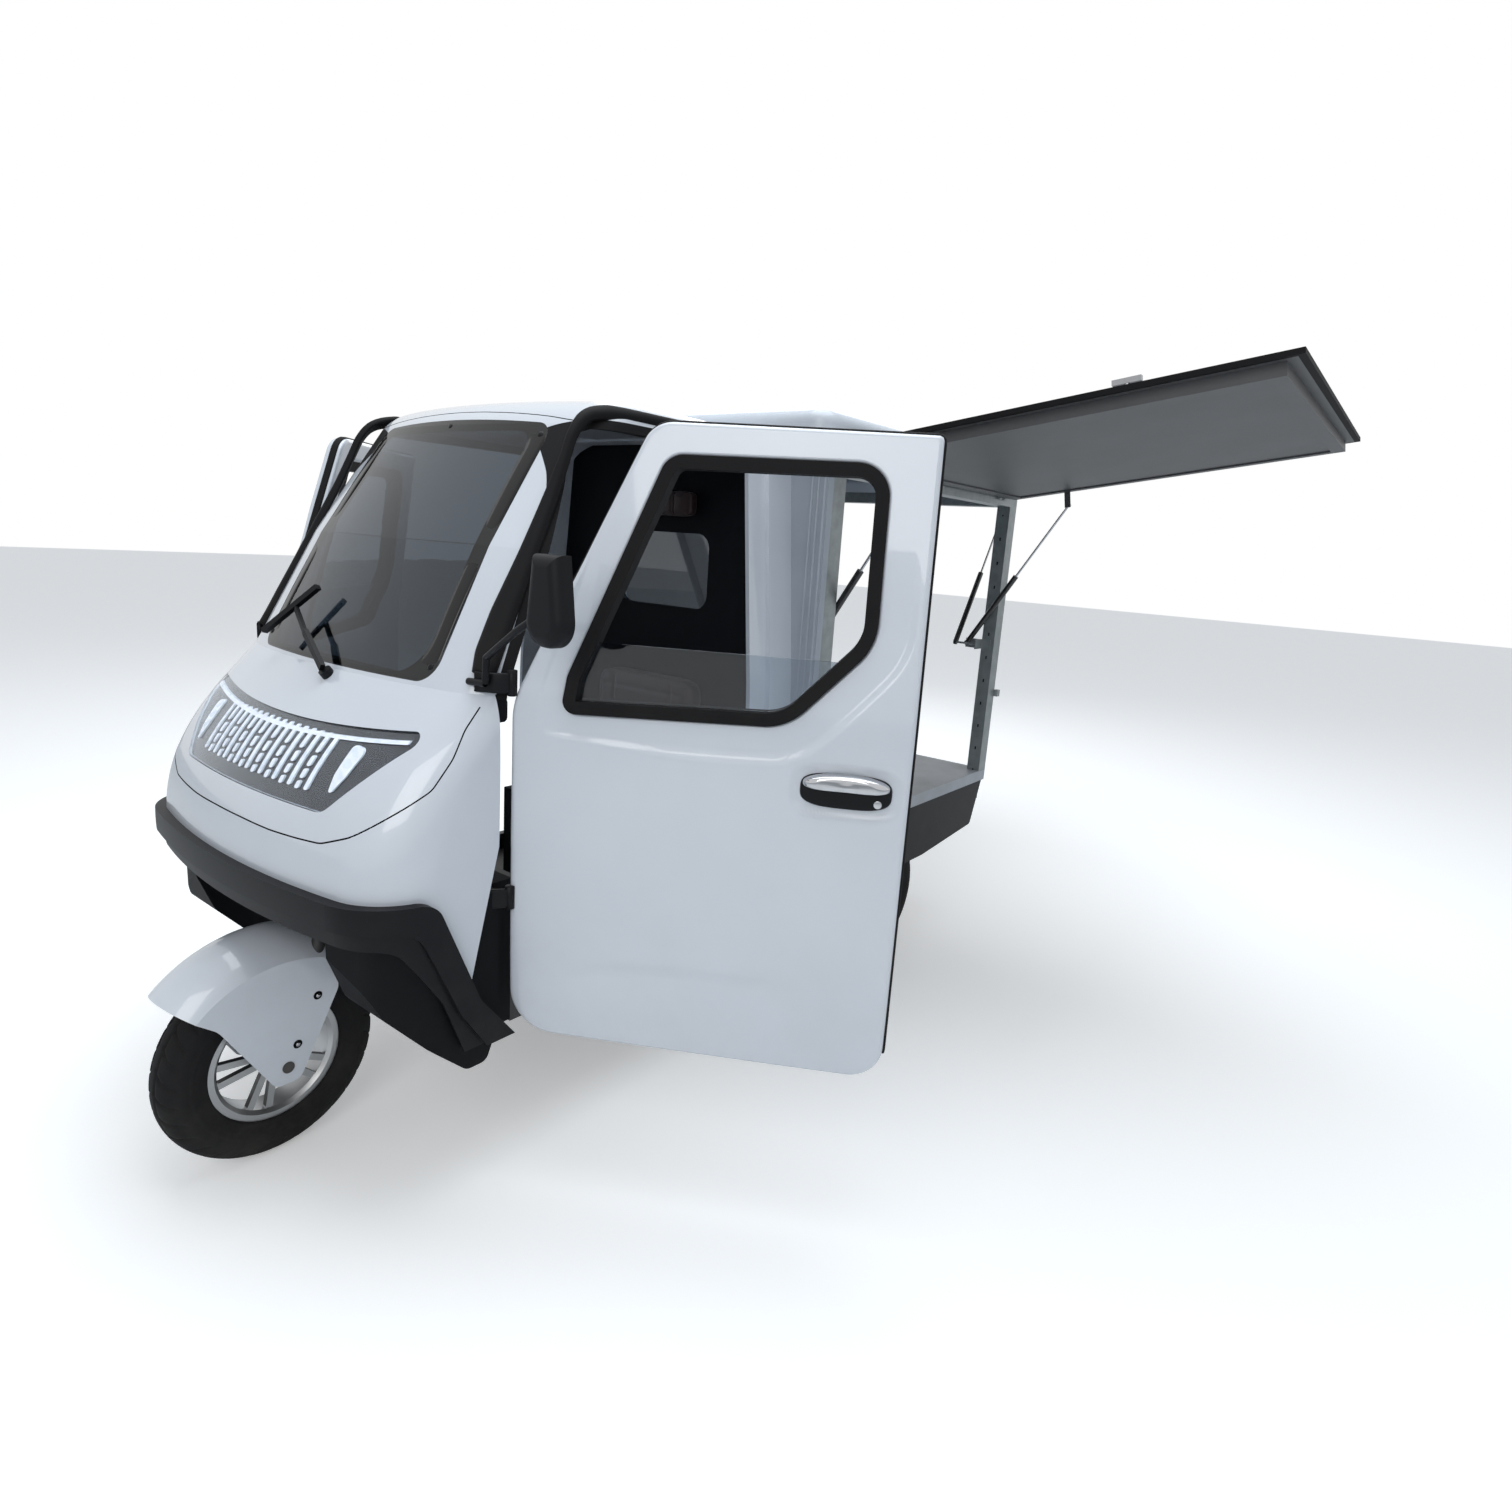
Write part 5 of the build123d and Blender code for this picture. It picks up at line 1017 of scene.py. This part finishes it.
rib_grids = [sweep(np.stack([np.full(5, 0.6495), np.full(5, side * (0.557 - 0.020 * k)), rib_heights], -1),
                   circle(0.0045, 14, 1.3), up=(1, 0, 0), scale=(0.7, 1, 1, 1, 0.7))
             for side in (1, -1) for k in range(3)]
ribs = join_piece("front_wall_ribs", rib_grids, paint["wall_grey"], "chassis")
print("hinge arms and pins", len(hinge_grids), "rib faces", len(ribs.data.polygons))

# %% [markdown]
# The door handle is a black oval plate with a chrome grip that swells over its upper half, and a
# small lock below. All are made the same way: an oval outline shrinks towards its middle while its
# height follows a rounded edge.

# %% Door handles


def oval(half_long, half_tall, power=3.0, count=64):
    """Superellipse |x/a|^n + |z/b|^n = 1, read off by angle."""
    a = np.linspace(0, 2 * math.pi, count, endpoint=False)
    return np.stack([half_long * np.sign(np.cos(a)) * np.abs(np.cos(a)) ** (2 / power),
                     half_tall * np.sign(np.sin(a)) * np.abs(np.sin(a)) ** (2 / power)], -1)


def dome(outline, height, edge):
    """Closed button: rings from the rim inwards rise as a quarter ellipse, and a small ring ends it."""
    a = np.linspace(0, math.pi / 2, 8)
    size = 1 - edge * (1 - np.cos(a))
    rings = [(1.0, -0.004)] + [(float(k), float(height * h)) for k, h in zip(size, np.sin(a))]
    inner = float(size[-1])
    rings += [(inner * f, height * (1 + 0.10 * (1 - f))) for f in (0.7, 0.4, 0.1)]
    grid = np.stack([np.concatenate([outline * k, np.full((len(outline), 1), h)], 1) for k, h in rings])
    return grid, end_caps(*grid.shape[:2])


HANDLE_AT = np.array([0.670, 0.370])
HANDLE_FACE = DOOR_PROUD - 0.006


def on_door(grid, shift=(0, 0), lift=0.0):
    """A button grid (x, z, height) moved to the handle's place as (s, out, z)."""
    return np.stack([HANDLE_AT[0] + shift[0] - grid[..., 0], HANDLE_FACE + lift + grid[..., 2],
                     HANDLE_AT[1] + shift[1] + grid[..., 1]], -1)


plate_grid, plate_caps = dome(oval(0.088, 0.034, 3.2), 0.009, 0.08)
GRIP_LONG = 0.083
grip_outline = oval(GRIP_LONG, 0.017, 2.6)
grip_outline[:, 1] += 0.006 * (1 - (grip_outline[:, 0] / GRIP_LONG) ** 2)
grip_grid, grip_caps = dome(grip_outline, 0.018, 0.35)
lock_grid, lock_caps = dome(oval(0.0085, 0.0085, 2.0, 32), 0.004, 0.2)
for label, opening, side in doors:
    for part_name, grid, caps, shift, lift, coat in (
            ("plate", plate_grid, plate_caps, (0, 0), 0.0, "trim_black"),
            ("grip", grip_grid, grip_caps, (0, 0.013), 0.008, "handle_chrome"),
            ("lock", lock_grid, lock_caps, (0.062, -0.017), 0.009, "handle_chrome")):
        placed = place_door(on_door(grid, shift, lift), opening, side)
        make_piece(f"door_{label}_{part_name}", placed, grid_faces(*grid.shape[:2], False, True), paint[coat],
                   f"door_{label}", caps=caps,
                   replaces=[f"door_{label}_handle"] if part_name == "grip" else ())
print("handles at", HANDLE_AT)

# %% [markdown]
# A tyre is a round profile turned about the axle. The tread is cut into it by the same function: a
# groove lowers the surface wherever a slanted wave, mirrored about the middle, comes near zero. The
# slant makes the chevrons that such a tyre has, and the shoulders stay smooth.

# %% Tyres with tread
TYRE_PROFILE = even(rounded([(-0.044, 0.1432, 0.004), (-0.0495, 0.168, 0.020), (-0.0495, 0.196, 0.030),
                             (-0.030, 0.229, 0.030), (0.0, 0.2362, 0.060), (0.030, 0.229, 0.030),
                             (0.0495, 0.196, 0.030), (0.0495, 0.168, 0.020), (0.044, 0.1432, 0.004)], 8), 96)


TYRE_TURNS = 360
CHEVRONS = 30


def tyre_grid(centre):
    """Round the axle by angle, across by the profile; grooves lower the crown by up to 5 mm."""
    angle = np.linspace(0, 2 * math.pi, TYRE_TURNS, endpoint=False)[:, None]
    across, radius = TYRE_PROFILE[None, :, 0], TYRE_PROFILE[None, :, 1]
    tread = smooth_step(radius, 0.196, 0.212)
    wave = np.abs(((angle * CHEVRONS / (2 * math.pi) + np.abs(across) * 26) % 1) - 0.5) * 2
    cut = 1 - smooth_step(wave, 0.10, 0.20)
    cut = cut * smooth_step(np.abs(across), 0.006, 0.010)
    ring = 1 - smooth_step(np.abs(np.abs(across) - 0.013), 0.0014, 0.0026)
    away = radius - 0.0050 * tread * np.maximum(cut, 0.8 * ring)
    ledge = 0.0012 * (1 - smooth_step(np.abs(radius - 0.176), 0.002, 0.004)) * (np.abs(across) > 0.045)
    side = across * (1 + ledge * 18)
    return np.stack([centre[0] + away * np.cos(angle), centre[1] + side * np.ones_like(angle),
                     centre[2] + away * np.sin(angle)], -1)


wheels = (("front", FRONT_AXLE, "front_wheel"), ("rear_left", REAR_AXLE, "rear_left_wheel"),
          ("rear_right", REAR_AXLE * (1, -1, 1), "rear_right_wheel"))
for label, centre, body in wheels:
    grid = tyre_grid(centre)
    tyre = make_piece(f"{label}_tread", grid, grid_faces(*grid.shape[:2], True, True),
                      paint["tyre_rubber"], body, replaces=[f"{label}_tyre"])
print("tyre faces", len(tyre.data.polygons))

# %% [markdown]
# Seat cushion, back rest and head pad are stuffed leather. Each starts as a rounded block a little
# smaller than its solid. Cloth under a light inner pressure then swells it, held to a small cap, so
# its faces crown and its edges pull in. The sewn channels come last, because remeshing would rub
# them out.

# %% Padded leather


def pad_block(half, power):
    """Superellipsoid: a rounded block whose corners sharpen with the power."""
    v = np.linspace(-math.pi / 2, math.pi / 2, 42)[1:-1, None]
    u = np.linspace(-math.pi, math.pi, 72, endpoint=False)[None, :]

    def soft(w):
        """sign(w) times |w| to the power 2/n."""
        return np.sign(w) * np.abs(w) ** (2 / power)

    x = half[0] * soft(np.cos(v)) * soft(np.cos(u))
    y = half[1] * soft(np.cos(v)) * soft(np.sin(u))
    z = half[2] * soft(np.sin(v)) * np.ones_like(u)
    return np.stack([x, y, z], -1)


def remesh(piece, voxel):
    """Rebuilds the mesh from even cells of one size."""
    modifier = piece.modifiers.new("remesh", "REMESH")
    modifier.mode = "VOXEL"
    modifier.voxel_size = voxel
    apply_modifiers(piece)


def swell(piece, cap):
    """20 frames of cloth with inner pressure, and a cap on how far a point moves."""
    before = mesh_points(piece)
    cloth = piece.modifiers.new("cloth", "CLOTH")
    cloth.settings.use_pressure = True
    cloth.settings.uniform_pressure_force = 4
    cloth.settings.effector_weights.gravity = 0
    cloth.settings.quality = 4
    cloth.point_cache.frame_start, cloth.point_cache.frame_end = 1, 20
    for number in range(1, 21):
        bpy.context.scene.frame_set(number)
    apply_modifiers(piece)
    bpy.context.scene.frame_set(1)
    moved = mesh_points(piece) - before
    far = np.linalg.norm(moved, axis=1, keepdims=True)
    put_points(piece, before + moved * np.minimum(1, cap / np.maximum(far, 1e-9)))


def mesh_points(piece):
    """The mesh's points as an (n, 3) array."""
    flat = np.empty(len(piece.data.vertices) * 3)
    piece.data.vertices.foreach_get("co", flat)
    return flat.reshape(-1, 3)


def put_points(piece, points):
    """Writes an (n, 3) array back into the mesh."""
    piece.data.vertices.foreach_set("co", np.ascontiguousarray(points).ravel())
    piece.data.update()


def apply_modifiers(piece):
    """Replaces the mesh by what its modifiers make of it now, and clears them."""
    graph = bpy.context.evaluated_depsgraph_get()
    made = bpy.data.meshes.new_from_object(piece.evaluated_get(graph), depsgraph=graph)
    made.materials.clear()
    made.materials.append(piece.data.materials[0])
    piece.modifiers.clear()
    piece.data = made
    made.polygons.foreach_set("use_smooth", np.ones(len(made.polygons), bool))


def padded(name, node, facing, grooves, cap=0.006, voxel=0.006):
    """A pad in the place of a CAD solid: facing is the axis its front looks along.

    Each groove is (axis, place, other axis, reach): a channel across the first axis at that place,
    as long as the reach to both sides of the other.
    """
    low, high = (np.array(corner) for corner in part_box(node))
    middle, half = (low + high) / 2, (high - low) / 2
    order = [k for k in range(3) if k != facing] + [facing]
    block = pad_block(half[order] * (0.985, 0.985, 0.88), 7.0)
    points = np.empty_like(block)
    for target, axis in enumerate(order):
        points[..., axis] = block[..., target]
    shape = block.shape[:2]
    piece = make_piece(name, points + middle, grid_faces(*shape, False, True), paint["seat_leather"],
                       "chassis", caps=end_caps(*shape), replaces=[node])
    remesh(piece, voxel)
    swell(piece, cap)
    p = mesh_points(piece) - middle
    front = smooth_step(p[:, facing] / half[facing], 0.2, 0.7)
    dip = sum(np.exp(-((p[:, axis] - at) / 0.0045) ** 2) * (np.abs(p[:, other]) < reach)
              for axis, at, other, reach in grooves)
    rim = np.maximum(np.abs(p[:, order[0]]) / half[order[0]], np.abs(p[:, order[1]]) / half[order[1]])
    crown = half[facing] * 0.10 * (1 - smooth_step(rim, 0.1, 0.98))
    p[:, facing] += front * (crown - 0.007 * np.clip(dip, 0, 1))
    p = np.clip(p, -half - 0.002, half + 0.004)
    p[:, facing] = np.maximum(p[:, facing], -half[facing])
    put_points(piece, p + middle)
    return piece


cushion = padded("seat_cushion_pad", "seat_cushion", 2,
                 [(0, -0.060, 1, 0.165), (0, 0.060, 1, 0.165), (1, -0.150, 0, 0.15),
                  (1, 0.150, 0, 0.15)])
backrest = padded("seat_back_pad", "seat_back", 0,
                  [(1, -0.120, 2, 0.10), (1, 0.120, 2, 0.10), (2, 0.075, 1, 0.16)])
headrest = padded("head_pad_leather", "head_pad", 0,
                  [(1, -0.070, 2, 0.03), (1, 0.070, 2, 0.03)], cap=0.004, voxel=0.004)
print("pads", [len(o.data.polygons) for o in (cushion, backrest, headrest)])
